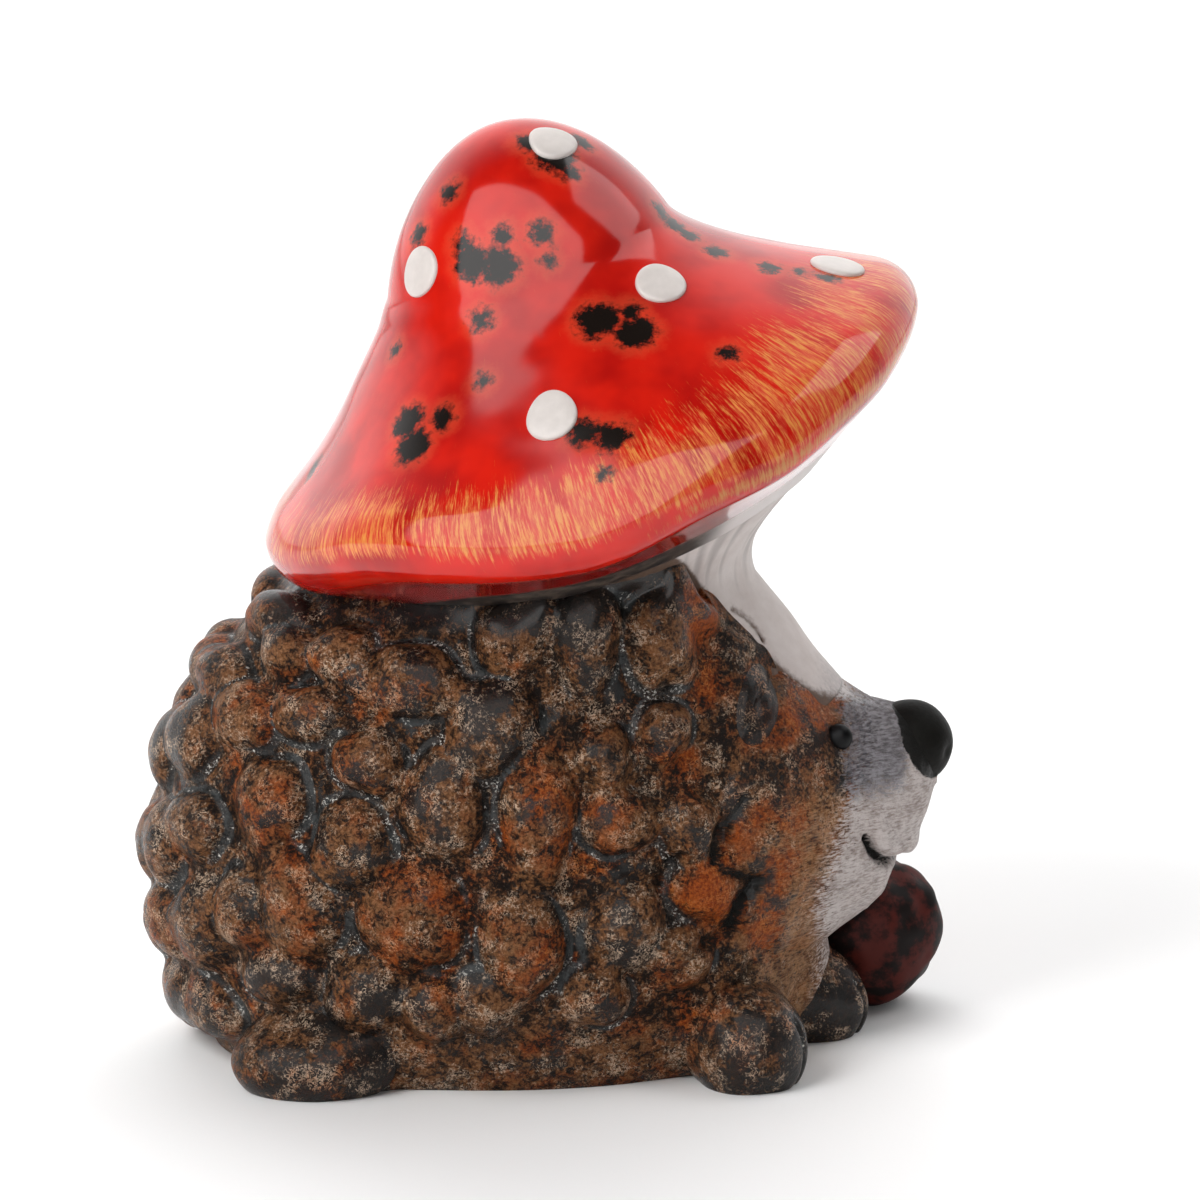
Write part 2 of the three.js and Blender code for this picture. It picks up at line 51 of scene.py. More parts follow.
# %% [markdown]
# ## The maker's frame
# A modeller measures from the middle of the coat, in millimetres. The nose tip is the one point that
# is sharp in both frames, so it tells how far the two are apart. Each skin is made as rings of points
# in numpy, because a relief of many small domes is easier to compute than to push about by hand.

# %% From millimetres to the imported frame
import math

import bmesh
import bpy
import numpy as np
from mathutils import Vector, noise
from mathutils.bvhtree import BVHTree

MM = 0.001
NOSE_TIP = 73.5

coat_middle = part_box("nose")[1].x / MM - NOSE_TIP


def middle_of(node):
    """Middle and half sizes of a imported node, in the maker's frame."""
    low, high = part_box(node)
    return np.array((low + high) / 2) / MM - (coat_middle, 0, 0), np.array((high - low) / 2) / MM


print("the coat's middle lies", round(coat_middle, 2), "mm from the frame's zero")

# %% Rings of points become a skin
def skin(rings, **marks):
    """Faces over closed rings of points, with a fan over each end; marks are numbers for each point."""
    rows, columns = rings.shape[:2]
    ends = rings[[0, -1]].mean(1)
    points = np.concatenate([rings.reshape(-1, 3), ends])
    here = np.arange(rows * columns).reshape(rows, columns)
    beside = np.roll(here, -1, axis=1)
    quads = np.stack([here[:-1], beside[:-1], beside[1:], here[1:]], -1).reshape(-1, 4)
    faces = quads.tolist()
    for hub, row in ((rows * columns, 0), (rows * columns + 1, -1)):
        faces += [(hub, a, b) for a, b in zip(here[row].tolist(), beside[row].tolist())]
    spread = {}
    for mark, values in marks.items():
        flat = values.reshape(rows * columns, *values.shape[2:])
        spread[mark] = np.concatenate([flat, values[[0, -1]].mean(1)])
    return points, faces, spread


print("two rings of four give", len(skin(np.zeros((2, 4, 3)))[1]), "faces")

# %% A skin becomes a piece
def model(name, skinned, node):
    """A finished skin in the scene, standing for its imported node."""
    points, faces, marks = skinned
    mesh = bpy.data.meshes.new(name)
    mesh.from_pydata((points + (coat_middle, 0, 0)) * MM, [], faces)
    sheet = bmesh.new()
    sheet.from_mesh(mesh)
    bmesh.ops.recalc_face_normals(sheet, faces=sheet.faces)
    sheet.to_mesh(mesh)
    sheet.free()
    mesh.shade_smooth()
    for mark, values in marks.items():
        kind, field = ("FLOAT", "value") if values.ndim == 1 else ("FLOAT_VECTOR", "vector")
        layer = mesh.attributes.new(mark, kind, "POINT")
        layer.data.foreach_set(field, values.astype(np.float32).ravel())
    piece = bpy.data.objects.new(name, mesh)
    bpy.context.collection.objects.link(piece)
    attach(piece, "root")
    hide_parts(node)
    print(name, len(mesh.polygons), "faces")
    return piece


# %% Small tools for shaping
def ease(low, high, value):
    """0 below low, 1 above high, and a soft slope between; low may be the larger one."""
    share = np.clip((value - low) / (high - low), 0, 1)
    return share * share * (3 - 2 * share)


def bell(apart, width):
    """1 in the middle of a mark, fading softly to nothing at about twice its width."""
    return np.exp(-(apart / width) ** 2)


def once_round(columns):
    """Angles of the points of a ring, as one row."""
    return np.linspace(0, 2 * math.pi, columns, endpoint=False)[None, :]


def lumps(points, size, seed):
    """Soft hills about size mm across, from -1 to 1, the same on each run."""
    aside = Vector((seed * 31.7, seed * 17.3, seed * 7.9))
    flat = points.reshape(-1, 3) / size
    return np.array([noise.noise(Vector(p) + aside) for p in flat]).reshape(points.shape[:-1])


def outward(rings):
    """Unit normals of a skin of rings, pointing away from its middle."""
    around = np.roll(rings, -1, axis=1) - np.roll(rings, 1, axis=1)
    along = np.gradient(rings, axis=0)
    normal = np.cross(around, along)
    normal /= np.maximum(np.linalg.norm(normal, axis=-1, keepdims=True), 1e-9)
    away = ((rings - rings.reshape(-1, 3).mean(0)) * normal).sum(-1).mean()
    return normal * np.sign(away)


def push(rings, depth):
    return rings + outward(rings) * depth[..., None]


def smooth_rows(values, passes):
    for _ in range(passes):
        values[1:-1] = (values[:-2] + 2 * values[1:-1] + values[2:]) / 4
    return values


print("a quarter of the way, an ease gives", ease(0, 1, 0.25))

# %% [markdown]
# ## Camera
# The photograph was taken from the side, a little above, with a long lens. A long lens keeps the far
# paws nearly as large as the near ones, so the camera stands a metre off and looks down 14 degrees.

# %% Camera
LOOK_DOWN = math.radians(14)
CAMERA_DISTANCE = 1.0
TARGET_AHEAD = 17
TARGET_HEIGHT = 72.05
LENS = 188.4

target = Vector(((TARGET_AHEAD + coat_middle) * MM, 0, TARGET_HEIGHT * MM))
view = bpy.data.cameras.new("side_view")
view.lens = LENS
camera = bpy.data.objects.new("side_view", view)
back_off = Vector((0, -math.cos(LOOK_DOWN), math.sin(LOOK_DOWN)))
camera.location = target + back_off * CAMERA_DISTANCE
camera.rotation_euler = (math.pi / 2 - LOOK_DOWN, 0, 0)
bpy.context.collection.objects.link(camera)
bpy.context.scene.camera = camera
bpy.context.scene.view_settings.view_transform = "Standard"
print("camera at", [round(v, 3) for v in camera.location])

# %% [markdown]
# ## Nodes and colours
# A finish is a graph of nodes. One small function adds a node, sets it and joins its inputs, and gives
# back the output to go on with. Colours are picked on a screen, so they are written as sRGB codes. The
# shader counts in linear light, so a second function turns the one into the other.

# %% Node helper and colours
def set_inputs(tree, node, links):
    """Fills inputs of a node, by number or by name, with a socket to join or a value to set."""
    for name, value in links.items():
        by_name = [socket for socket in node.inputs if socket.enabled and socket.name == name]
        socket = by_name[0] if by_name else node.inputs[name]
        if isinstance(value, bpy.types.NodeSocket):
            tree.links.new(value, socket)
        else:
            socket.default_value = value


def add(tree, kind, settings=None, links=None, output=None):
    """Adds a node and gives back its named output, or else the first output that is in use."""
    made = tree.nodes.new("ShaderNode" + kind)
    for name, value in (settings or {}).items():
        setattr(made, name, value)
    set_inputs(tree, made, links or {})
    return made.outputs[output] if output else next(s for s in made.outputs if s.enabled)


def colour(code):
    """Linear colour of an sRGB hex code."""
    parts = [int(code[i:i + 2], 16) / 255 for i in (1, 3, 5)]
    return [p / 12.92 if p <= 0.04045 else ((p + 0.055) / 1.055) ** 2.4 for p in parts] + [1]


print("middle grey is", round(colour("#808080")[0], 3), "in linear light")

# %% [markdown]
# ## Floor and light
# The studio is plain: white paper underneath and a glowing white backdrop. The clay is lit by softboxes
# on the left and the right, a key light high on the left and a low fill from the front. The glossy cap is
# a mirror, and in the photograph it shows one large window in front on the left. One lamp can't do both
# jobs, so the window is seen in reflections only, and most softboxes light the clay only.

# %% Floor of white paper
FLOOR_HALF = 3.0

floor_mesh = bpy.data.meshes.new("floor")
corners = [(-1, -1), (1, -1), (1, 1), (-1, 1)]
floor_mesh.from_pydata([(x * FLOOR_HALF, y * FLOOR_HALF, 0) for x, y in corners], [], [(0, 1, 2, 3)])
floor = bpy.data.objects.new("floor", floor_mesh)
bpy.context.collection.objects.link(floor)

# uncoated paper scatters light evenly, so the shadow on it is soft and nothing is mirrored
paper = bpy.data.materials.new("white_studio_paper")
paper.use_nodes = True
paper_shader = paper.node_tree.nodes["Principled BSDF"]
set_inputs(paper.node_tree, paper_shader, {"Base Color": colour("#fbfbfb"), "Roughness": 0.9})
floor_mesh.materials.append(paper)
print("floor is", 2 * FLOOR_HALF, "m wide")

# %% Softboxes
SOFTBOXES = {
    # name: place, size across and along, power, if it lights the clay, and if the glaze mirrors it
    "window": ((-0.49, -1.21, 1.02), (3.1, 2.3), 52.0, False, True),
    "left_softbox": ((-0.82, -0.47, 0.72), (0.95, 0.85), 5.0, True, False),
    "right_softbox": ((0.64, 0.11, 0.9), (0.62, 0.58), 2.3, True, True),
    "key_light": ((-0.75, -0.75, 1.05), (0.7, 0.7), 9.3, True, False),
    "front_fill": ((0.18, -2.4, 0.55), (2.2, 1.1), 8.2, True, False),
    "backdrop_softbox": ((0, 1.3, 1.6), (2.0, 1.0), 22.0, True, False),
}

for name, (place, (across, along), power, lighting, mirrored) in SOFTBOXES.items():
    lamp = bpy.data.lights.new(name, "AREA")
    lamp.shape = "RECTANGLE"
    lamp.size, lamp.size_y = across, along
    lamp.energy = power
    box = bpy.data.objects.new(name, lamp)
    box.location = place
    box.rotation_euler = (target - Vector(place)).to_track_quat("-Z", "Y").to_euler()
    box.visible_diffuse, box.visible_glossy, box.visible_camera = lighting, mirrored, False
    bpy.context.collection.objects.link(box)
print("lights:", ", ".join(SOFTBOXES))

# %% Backdrop
FRONT_GLOW = 0.08
BACKDROP_GLOW = 1.25
GLOW_FROM, GLOW_FULL = 0.05, 0.75
SOFT = {"interpolation_type": "SMOOTHSTEP"}

room = bpy.data.worlds.new("studio")
room.use_nodes = True
bpy.context.scene.world = room
air = room.node_tree
facing = add(air, "SeparateXYZ", links={0: add(air, "TexCoord", output="Generated")}, output="Y")
glow = add(air, "MapRange", SOFT, {
    "Value": facing, "From Min": GLOW_FROM, "From Max": GLOW_FULL,
    "To Min": FRONT_GLOW, "To Max": BACKDROP_GLOW,
})
set_inputs(air, air.nodes["Background"], {"Color": colour("#ffffff"), "Strength": glow})
print("the backdrop glows", round(BACKDROP_GLOW / FRONT_GLOW), "times as bright as the room")

# %% [markdown]
# ## Coat and head as plain forms
# Under the bobbles the coat is an oval loaf, round at the tail and squarer at the chest. The head is a
# row of squarish ovals from the neck to the muzzle. Both are written as functions, so each can also
# tell how far a point lies from it. That distance lets clay be smeared into the joint between them,
# as a maker does with a wet brush: both skins swell a little where they meet.

# %% The loaf
HALF_LENGTH = 54
HALF_WIDTH = 36
BELLY = 30
CROWN_RISE = 57
TAIL_FULLNESS = 2
CHEST_FULLNESS = 2.8
FOOT_DRAW_IN = 0.16
CROWN = BELLY + CROWN_RISE


def loaf_share(turn, height):
    """How much of its full breadth the loaf has at a height; turn runs round from the tail."""
    fullness = TAIL_FULLNESS + (CHEST_FULLNESS - TAIL_FULLNESS) * (1 - np.cos(turn)) / 2
    rounding = lambda share: np.maximum(0, 1 - share ** fullness) ** (1 / fullness)
    reach = np.where(height > BELLY, CROWN_RISE, BELLY / rounding(1 - FOOT_DRAW_IN))
    return rounding(np.abs(height - BELLY) / reach)


def loaf(turn, height):
    share = loaf_share(turn, height)
    x = -HALF_LENGTH * share * np.cos(turn)
    return np.stack([x, HALF_WIDTH * share * np.sin(turn), height + 0 * turn], -1)


def outside_loaf(points):
    """Rough distance of points from the loaf, negative inside."""
    x, y, z = np.moveaxis(points, -1, 0)
    across = np.hypot(x / HALF_LENGTH, y / HALF_WIDTH)
    turn = np.arctan2(y / HALF_WIDTH, -x / HALF_LENGTH)
    scale = np.hypot(HALF_LENGTH * np.cos(turn), HALF_WIDTH * np.sin(turn))
    return (across - loaf_share(turn, np.clip(z, 0, CROWN))) * scale


print("breadth left at the foot:", loaf_share(np.array(0.0), np.array(0.0)).round(2))

# %% Directions on the loaf
STEP = 0.01


def directions_on_loaf(turn, height):
    """A point of the loaf, and unit directions along its girth, up its side and out of it."""
    middle = loaf(turn, height)
    along = loaf(turn + STEP, height) - middle
    along /= np.linalg.norm(along)
    normal = np.cross(loaf(turn, height + STEP) - middle, along)
    normal /= np.linalg.norm(normal)
    return middle, along, np.cross(along, normal), normal


print("out of the tail:", directions_on_loaf(0.0, BELLY)[3].round(2).tolist())

# %% The head's ovals
HEAD = np.array([
    # ahead of the coat's middle, underside, ridge, half width
    (20, 10, 60, 19), (30, 8, 64, 24), (38, 8, 69, 27.5), (46, 12, 66, 25), (54, 17.6, 59.5, 18.5),
    (60, 21.7, 55.8, 13.6), (62.5, 24.2, 55.2, 12), (63.8, 28, 54.9, 11.2), (65, 30.3, 54.7, 10.4),
    (66.5, 31, 54.3, 9.3), (68, 34.2, 53.2, 8), (69.5, 37.8, 51.4, 6.2), (70.6, 42, 48.5, 3.6),
])
HEAD_SQUARENESS = 2.3
FAR_OFF = 30


def head_at(x):
    return [np.interp(x, HEAD[:, 0], HEAD[:, n]) for n in (1, 2, 3)]


def outside_head(points):
    """Rough distance of points from the head, negative inside."""
    x, y, z = np.moveaxis(points, -1, 0)
    low, high, half = head_at(x)
    rise = np.abs(z - (low + high) / 2)
    out = (np.abs(y / half) ** HEAD_SQUARENESS + (2 * rise / (high - low)) ** HEAD_SQUARENESS)
    out = np.maximum(out, 1e-6) ** (1 / HEAD_SQUARENESS)
    apart = np.hypot(y, rise) * (1 - 1 / out)
    return np.where(x < HEAD[0, 0], FAR_OFF, apart)


def cheek(x, z):
    """A point of the head's side at a place ahead and a height."""
    low, high, half = head_at(x)
    rise = abs(2 * z - low - high) / (high - low)
    return x, half * max(0, 1 - rise ** HEAD_SQUARENESS) ** (1 / HEAD_SQUARENESS), z


def smeared(distance, reach=9):
    """How far a skin swells at this distance from the other form."""
    return reach / 4 * np.clip(1 - distance / reach, 0, 1.4) ** 2


print("head is", HEAD[-1, 0] - HEAD[0, 0], "mm long with its neck")

# %% [markdown]
# ## Where the toadstool and the paws stand
# The coat also meets the toadstool and the paws. The toadstool leans back, so a pair of functions turns
# points into its own upright frame and back. The stem is a cone there, and the coat's front edge is a
# line drawn on it: clay in front of that line is drawn in until the stem hides it.

# %% The toadstool's lean
TOADSTOOL_PLACE = (14.8, 0, 101.4)
LEAN = math.radians(22.3)


def upright(points):
    """Points in the toadstool's own frame, with its axis upright."""
    x, y, z = np.moveaxis(points - np.array(TOADSTOOL_PLACE), -1, 0)
    ahead, up = x * math.cos(LEAN) + z * math.sin(LEAN), z * math.cos(LEAN) - x * math.sin(LEAN)
    return np.stack([ahead, y, up], -1)


def leaned(points):
    """Points of the toadstool's own frame, back on the figurine."""
    x, y, z = np.moveaxis(points, -1, 0)
    ahead, up = x * math.cos(LEAN) - z * math.sin(LEAN), x * math.sin(LEAN) + z * math.cos(LEAN)
    return np.stack([ahead, y, up], -1) + TOADSTOOL_PLACE


print("the toadstool leans back", round(math.degrees(LEAN), 1), "degrees")

# %% The stem's cone and the cap's underside
NECK = (15.7, -33)
FOOT = (21.5, -55)
UNDERSIDE = np.array([(15.7, -33), (20, -27), (25, -23), (32.8, -18), (51.4, -6)])
UNDERSIDE_DROOP = 5
DROOP_FROM = 25
DROOP_DIRECTION = math.radians(80)


def outside_stem(points):
    """Distance of points from the stem below its collar, negative inside."""
    x, y, z = np.moveaxis(upright(points), -1, 0)
    return np.hypot(x, y) - np.interp(-z, (-NECK[1], -FOOT[1]), (NECK[0], FOOT[0]))


def below_cap(points):
    """How far points lie below the cap's underside, which droops at the flanks."""
    x, y, z = np.moveaxis(upright(points), -1, 0)
    out = np.hypot(x, y)
    droop = UNDERSIDE_DROOP * np.maximum(0, np.cos(np.abs(np.arctan2(y, x)) - DROOP_DIRECTION)) ** 2
    return np.interp(out, *UNDERSIDE.T) - droop * np.interp(out, (DROOP_FROM, UNDERSIDE[-1, 0]), (0, 1)) - z


print("under the rim at the front:", below_cap(np.array((60.0, 0, 100))).round(1), "mm")

# %% The coat's front edge
COAT_EDGE = np.array([
    # where the coat's front edge lies on the stem: ahead, aside, height
    (24, 26, 92), (29.8, 19.9, 84), (32.7, 14.3, 78), (36.2, 13.2, 73.4), (42.2, 12.5, 67.1),
    (47, 11.8, 62.5), (51, 9.9, 59.5), (58.5, 2.5, 56.1),
])
STEM_COVER = 0.5


def coat_edge(x):
    """Height of the coat's front edge on the stem and the forehead."""
    return np.interp(x, COAT_EDGE[:, 0], COAT_EDGE[:, 2])


def tucked(points):
    """Points in front of the coat's edge, drawn in until the stem hides them."""
    x, y, z = np.moveaxis(upright(points), -1, 0)
    excess = np.maximum(0, outside_stem(points) + STEM_COVER)
    excess = excess * ease(0, 3, points[..., 2] - coat_edge(points[..., 0]))
    excess *= ease(27, 30, points[..., 0])
    radius = np.maximum(np.hypot(x, y), 1)
    return leaned(np.stack([x * (1 - excess / radius), y * (1 - excess / radius), z], -1))


print("the edge runs", COAT_EDGE[-1, 0] - COAT_EDGE[0, 0], "mm forward")

# %% The paws' ovals
PAWS = {
    # name: middle, half sizes, toe depth, and soot with painted shade, most on the far fore paw in the shadow
    # under the chin
    "hind_paw_near": ((-28, -28, 4.2), (13.3, 9.5, 7.4), 0.5, 0.25),
    "hind_paw_far": ((-28, 28, 4.2), (13.3, 9.5, 7.4), 0.5, 0.25),
    "fore_paw_near": ((40.5, -25, 5.6), (9.3, 9.2, 9.9), 0.8, 0.1),
    "fore_paw_far": ((49.5, 1, 4.5), (11, 8.5, 9), 0.8, 0.5),
}
PAW_SMEAR = 7


def outside_paws(points):
    best = np.full(points.shape[:-1], 99.0)
    for middle, half, *_ in PAWS.values():
        scaled = np.linalg.norm((points - np.array(middle)) / half, axis=-1)
        best = np.minimum(best, (scaled - 1) * min(half))
    return best


print(len(PAWS), "paws")

# %% [markdown]
# ## The bobbled coat
# On the real coat each bobble is a flat clay pebble pressed on with a thumb, with narrow channels left
# between. Separate pebbles would show hard seams, so here they are one relief: at each point the
# highest pebble wins, and a soft fillet fills the crease to the next one. The near side follows the
# photograph, and the far side repeats it with small seeded changes, as a hand would.

# %% Places of the bobbles
FLANK_BOBBLES = [
    # degrees round from the tail, height, width, tall, and tint from soot (-1) to rust (1)
    (25, 72, 19, 9, 0), (16, 62.5, 19, 10, 0.2), (40, 68, 12, 9, 0), (56, 69, 12, 10, 0.3),
    (74, 66, 17, 13, -0.2), (95, 72, 13, 12, 0.1), (110, 70, 11, 14, -0.9), (125, 69, 12, 13, 0.1),
    (120, 77, 16, 7, 0), (135, 74, 13, 9, 0.4), (18, 53, 18, 14, -0.4), (36, 58, 14, 12, 0.5),
    (53, 60, 13, 10, 0), (68, 54, 12, 11, -0.1), (90, 60, 15, 16, -0.8), (110, 55, 10, 11, -0.3),
    (122, 58, 10, 10, 0), (15, 35, 16, 14, -0.3), (29, 40, 14, 12, 0), (49, 46, 13, 16, 0.2),
    (66, 41, 14, 15, -0.1), (82, 48, 13, 19, -0.3), (98, 46, 12, 24, 0.6), (112, 45, 13, 12, 0.1),
    (125, 43, 11, 12, -0.2), (16, 22, 15, 13, 0), (31, 24, 14, 16, -0.2), (43, 28, 10, 13, 0.1),
    (56, 30, 16, 18, 0.3), (77, 30, 17, 19, 1), (95, 26, 14, 20, 0.3), (113, 28, 14, 14, -0.8),
    (129, 33, 14, 12, 0.9), (12, 9, 18, 13, -0.1), (27, 9, 17, 12, 0), (50, 18, 13, 10, -0.3),
    (68, 17, 13, 14, -0.4), (80, 15, 10, 11, 0.2), (89, 16, 10, 12, -0.7), (108, 17, 11, 12, 0),
    (123, 22, 11, 11, 0.2), (43, 63, 2.8, 2.8, 0), (62, 66, 5, 6, 0),
]
TAIL_BOBBLES = [
    (0, 62, 15, 10, 0), (0, 48.5, 16, 14, -0.2), (0, 32.5, 16, 14, 0.2), (0, 19, 14, 12, -0.3),
    (0, 6, 16, 12, 0),
]

flank_bobbles = np.array(FLANK_BOBBLES, float)
places = np.concatenate([flank_bobbles * (-1, 1, 1, 1, 1), flank_bobbles, np.array(TAIL_BOBBLES, float)])
print(len(places), "bobbles")

# %% One bobble
PROUD = 3.8
DEPTH = 6
SPREAD = 1.1
THICKEST = 9
WOBBLES = ((2, 0.06), (3, 0.05), (5, 0.03))
HAND = np.random.default_rng(7)


def bobble(points, place):
    """Points close to a bobble, how far out from its middle each lies (1 at its edge), and its dome there."""
    angle, height, width, tall, _ = place
    middle, along, upward, normal = directions_on_loaf(math.radians(angle), height)
    close = np.flatnonzero(np.abs(points - middle).max(1) < max(width, tall))
    close = close[np.abs((points[close] - middle) @ normal) < THICKEST]
    apart = points[close] - middle
    u, v = 2 * apart @ along / width, 2 * apart @ upward / tall
    edge = np.ones(len(close))
    for (lobes, amount), start in zip(WOBBLES, HAND.uniform(0, 2 * math.pi, len(WOBBLES))):
        edge += amount * np.sin(lobes * np.arctan2(v, u) + start)
    out = np.hypot(u, v) / edge
    egg = DEPTH / PROUD * (1 - np.sqrt(np.maximum(0, 1 - (out / SPREAD) ** 2)))
    return close, out, min(PROUD, 0.55 * min(width, tall)) * np.maximum(0, 1 - egg)


print("bobbles stand", PROUD, "mm proud")

# %% Relief of all bobbles
FILLET = 1.2
LINE_DEPTH = 0.85
LINE_HALF_WIDTH = 0.6
LINE_PLACE = 1.03
CREASE = 0.4
LOOSE_SIZE = 7


def bobble_relief(points):
    """Height of the coat over the loaf, a mark along the bobbles' outlines, and each point's bobble."""
    first, second = np.zeros(len(points)), np.zeros(len(points))
    owner, out_of_owner = np.full(len(points), -1), np.full(len(points), 9.0)
    for n, place in enumerate(places):
        close, out, dome = bobble(points, place)
        second[close] = np.maximum(second[close], np.minimum(first[close], dome))
        wins = (dome > first[close]) | ((first[close] == 0) & (out < out_of_owner[close]))
        owner[close[wins]] = n
        out_of_owner[close[wins]] = out[wins]
        first[close] = np.maximum(first[close], dome)
    size = np.append(np.sqrt(places[:, 2] * places[:, 3]) / 2, LOOSE_SIZE)[owner]
    broken = ease(-0.25, 0.2, lumps(points, 8, 40))
    outline = broken * bell((out_of_owner - LINE_PLACE) * size, LINE_HALF_WIDTH)
    gap = np.where(second > 0.15, first - second, 9)
    crease = broken * bell(gap, CREASE)
    fillet = np.maximum(FILLET - gap, 0) ** 2 / (4 * FILLET)
    return first + fillet - LINE_DEPTH * outline, np.maximum(outline, crease), owner


print("grooves are", LINE_DEPTH, "mm deep")

# %% [markdown]
# ## Marks on cheek and face
# The maker drew a few strokes in the wet cheek with a wooden tool, then brushed rust, tan and white slip
# over coat and head alike. Coat and head are two skins, so strokes and brush marks are written as places
# on the figurine. Each skin asks them what lies at its points, and the marks run on across the joint.

# %% Strokes carved in the cheek
CHEEK_STROKES = [
    # runs of places (ahead, aside, height), then depth and half width of the tool, and oxide left in it
    ([(39.8, 26.4, 46.8), (37.9, 26.5, 44.5), (35.9, 26.6, 42.3), (35.1, 28, 38)], 1.4, 1.1, 0.8),
    ([(36.4, 29, 36.4), (38.6, 27.9, 35.2), (41.5, 26.1, 33.4)], 1.3, 0.9, 0.75),
    ([(41.7, 26.1, 33.0), (40.5, 26.4, 31.3), (39, 26.3, 29.6), (37.2, 26, 26)], 2.0, 1.3, 1.0),
    ([(39.5, 27.3, 32.7), (37.4, 26.1, 28.4), (35, 26.7, 24.5)], 1.0, 0.8, 0.5),
    ([(29.6, 30.7, 39.1), (27.6, 31.5, 37.1), (26.7, 32, 34.6)], 1.0, 0.9, 0.6),
    ([(33.4, 31, 24.1), (30.3, 31.2, 21.2), (26.9, 31.8, 19.2)], 1.0, 0.9, 0.5),
    ([(40.8, 22.8, 19.2), (39.9, 23.3, 16.9), (37.3, 24.5, 15.1)], 1.0, 0.9, 0.5),
    ([(37.5, 17.3, 72.4), (40, 17.2, 70.6), (42.5, 17, 68.8)], 0.8, 0.7, 0.6),
]
SIDE_ON = 0.1
STAIN_SPREAD = 1.3


def from_run(points, run, aside=1):
    """Distance of points from a run of straight pieces, the same on both sides of the figurine."""
    weights = np.array((1, aside, 1))
    mirrored = points.copy()
    mirrored[..., 1] = np.abs(mirrored[..., 1])
    mirrored = mirrored * weights
    best = np.full(points.shape[:-1], 1e3)
    for a, b in zip(np.array(run[:-1], float) * weights, np.array(run[1:], float) * weights):
        span = b - a
        share = np.clip((mirrored - a) @ span / (span @ span), 0, 1)
        nearest = a + share[..., None] * span
        best = np.minimum(best, np.linalg.norm(mirrored - nearest, axis=-1))
    return best


def carved(points, strokes):
    """Depth that the tool takes away, and a mark of where it went."""
    depth, mark = np.zeros(points.shape[:-1]), np.zeros(points.shape[:-1])
    for run, deep, wide, oxide_left in strokes:
        apart = from_run(points, run, SIDE_ON)
        depth = np.maximum(depth, deep * bell(apart, wide))
        mark = np.maximum(mark, oxide_left * bell(apart, STAIN_SPREAD * wide))
    return depth, mark


print(len(CHEEK_STROKES), "strokes on each cheek")

# %% Where the brush went on the face
RUST_MARKS = np.array([
    # ahead, aside, height and radius of each dab
    (39.4, 27.1, 39.3, 4), (34.9, 31, 32.5, 4.5), (44, 24.8, 29.2, 3.5), (48.5, 16, 58.2, 4.5),
    (32.3, 21.3, 75.4, 4), (33.5, 22.6, 63.9, 3), (31, 27.4, 53.2, 3), (36.5, 29.5, 30.3, 4),
    (53.3, 11.6, 56.7, 3.5), (45, 24, 36, 4), (47, 22, 42, 3), (43, 24, 24, 3.5),
])
SLIP_EDGE = np.array([
    # height, and how far ahead the white slip begins there
    (20, 53), (23, 52.4), (25.2, 52), (27.7, 52.3), (32.9, 53.8), (38, 55.2), (42.9, 56.5), (48, 59),
    (54, 60),
])
TAN_EDGE = np.array([(20.4, 40), (29.5, 44), (37.9, 42), (46.7, 42)])


def face_marks(points):
    """Shares of slip, smoke, tan and rust at points of the coat or the head."""
    x, y, z = np.moveaxis(points, -1, 0)
    rust = np.zeros(points.shape[:-1])
    for *middle, radius in RUST_MARKS:
        apart = np.linalg.norm((np.stack([x, np.abs(y), z], -1) - middle) * (1, SIDE_ON, 1), axis=-1)
        rust = np.maximum(rust, bell(apart, radius))
    forehead = ease(-0.8, 1.4, z - coat_edge(x)) * ease(44, 47, x)
    return {
        "slip": np.maximum(ease(-4.5, 4.5, x - np.interp(z, *SLIP_EDGE.T)), forehead),
        "smoke": ease(53.8, 57.6, x) * ease(40.5, 48, z) * ease(67.5, 63.5, x) * (1 - forehead),
        "tan": 0.7 * ease(-5, 8, x - np.interp(z, *TAN_EDGE.T)) * ease(49, 41, z) * (1 - 0.6 * rust),
        "rust": rust,
    }


print(len(RUST_MARKS), "dabs of rust on each side")

# %% [markdown]
# ## Skin of the coat
# The loaf is cut into level rings, and the relief of the bobbles is pushed out along its normals. Then
# come the marks of assembly: clay smeared to head, paws and cap, a shoulder that was dragged up towards
# the cap, the strokes, and a flat base with a drain hole, which every hollow casting needs.

# %% Rings of the coat
COAT_COLUMNS = 460
COAT_ROWS = 178
TOP_SHARE = 0.93
SOFTENING = 2

turn = once_round(COAT_COLUMNS)
height = CROWN * np.sin(np.linspace(0, TOP_SHARE, COAT_ROWS) * math.pi / 2)[:, None]
flank = loaf(turn, height + 0 * turn)
relief, line, owner = (field.reshape(flank.shape[:2]) for field in bobble_relief(flank.reshape(-1, 3)))
for _ in range(SOFTENING):
    relief = (np.roll(relief, 1, 1) + 2 * relief + np.roll(relief, -1, 1)) / 4
    relief = smooth_rows(relief, 1)
print("relief from", relief.min().round(1), "to", relief.max().round(1), "mm")

# %% Clay smeared into the joints
CAP_SMEAR = 16

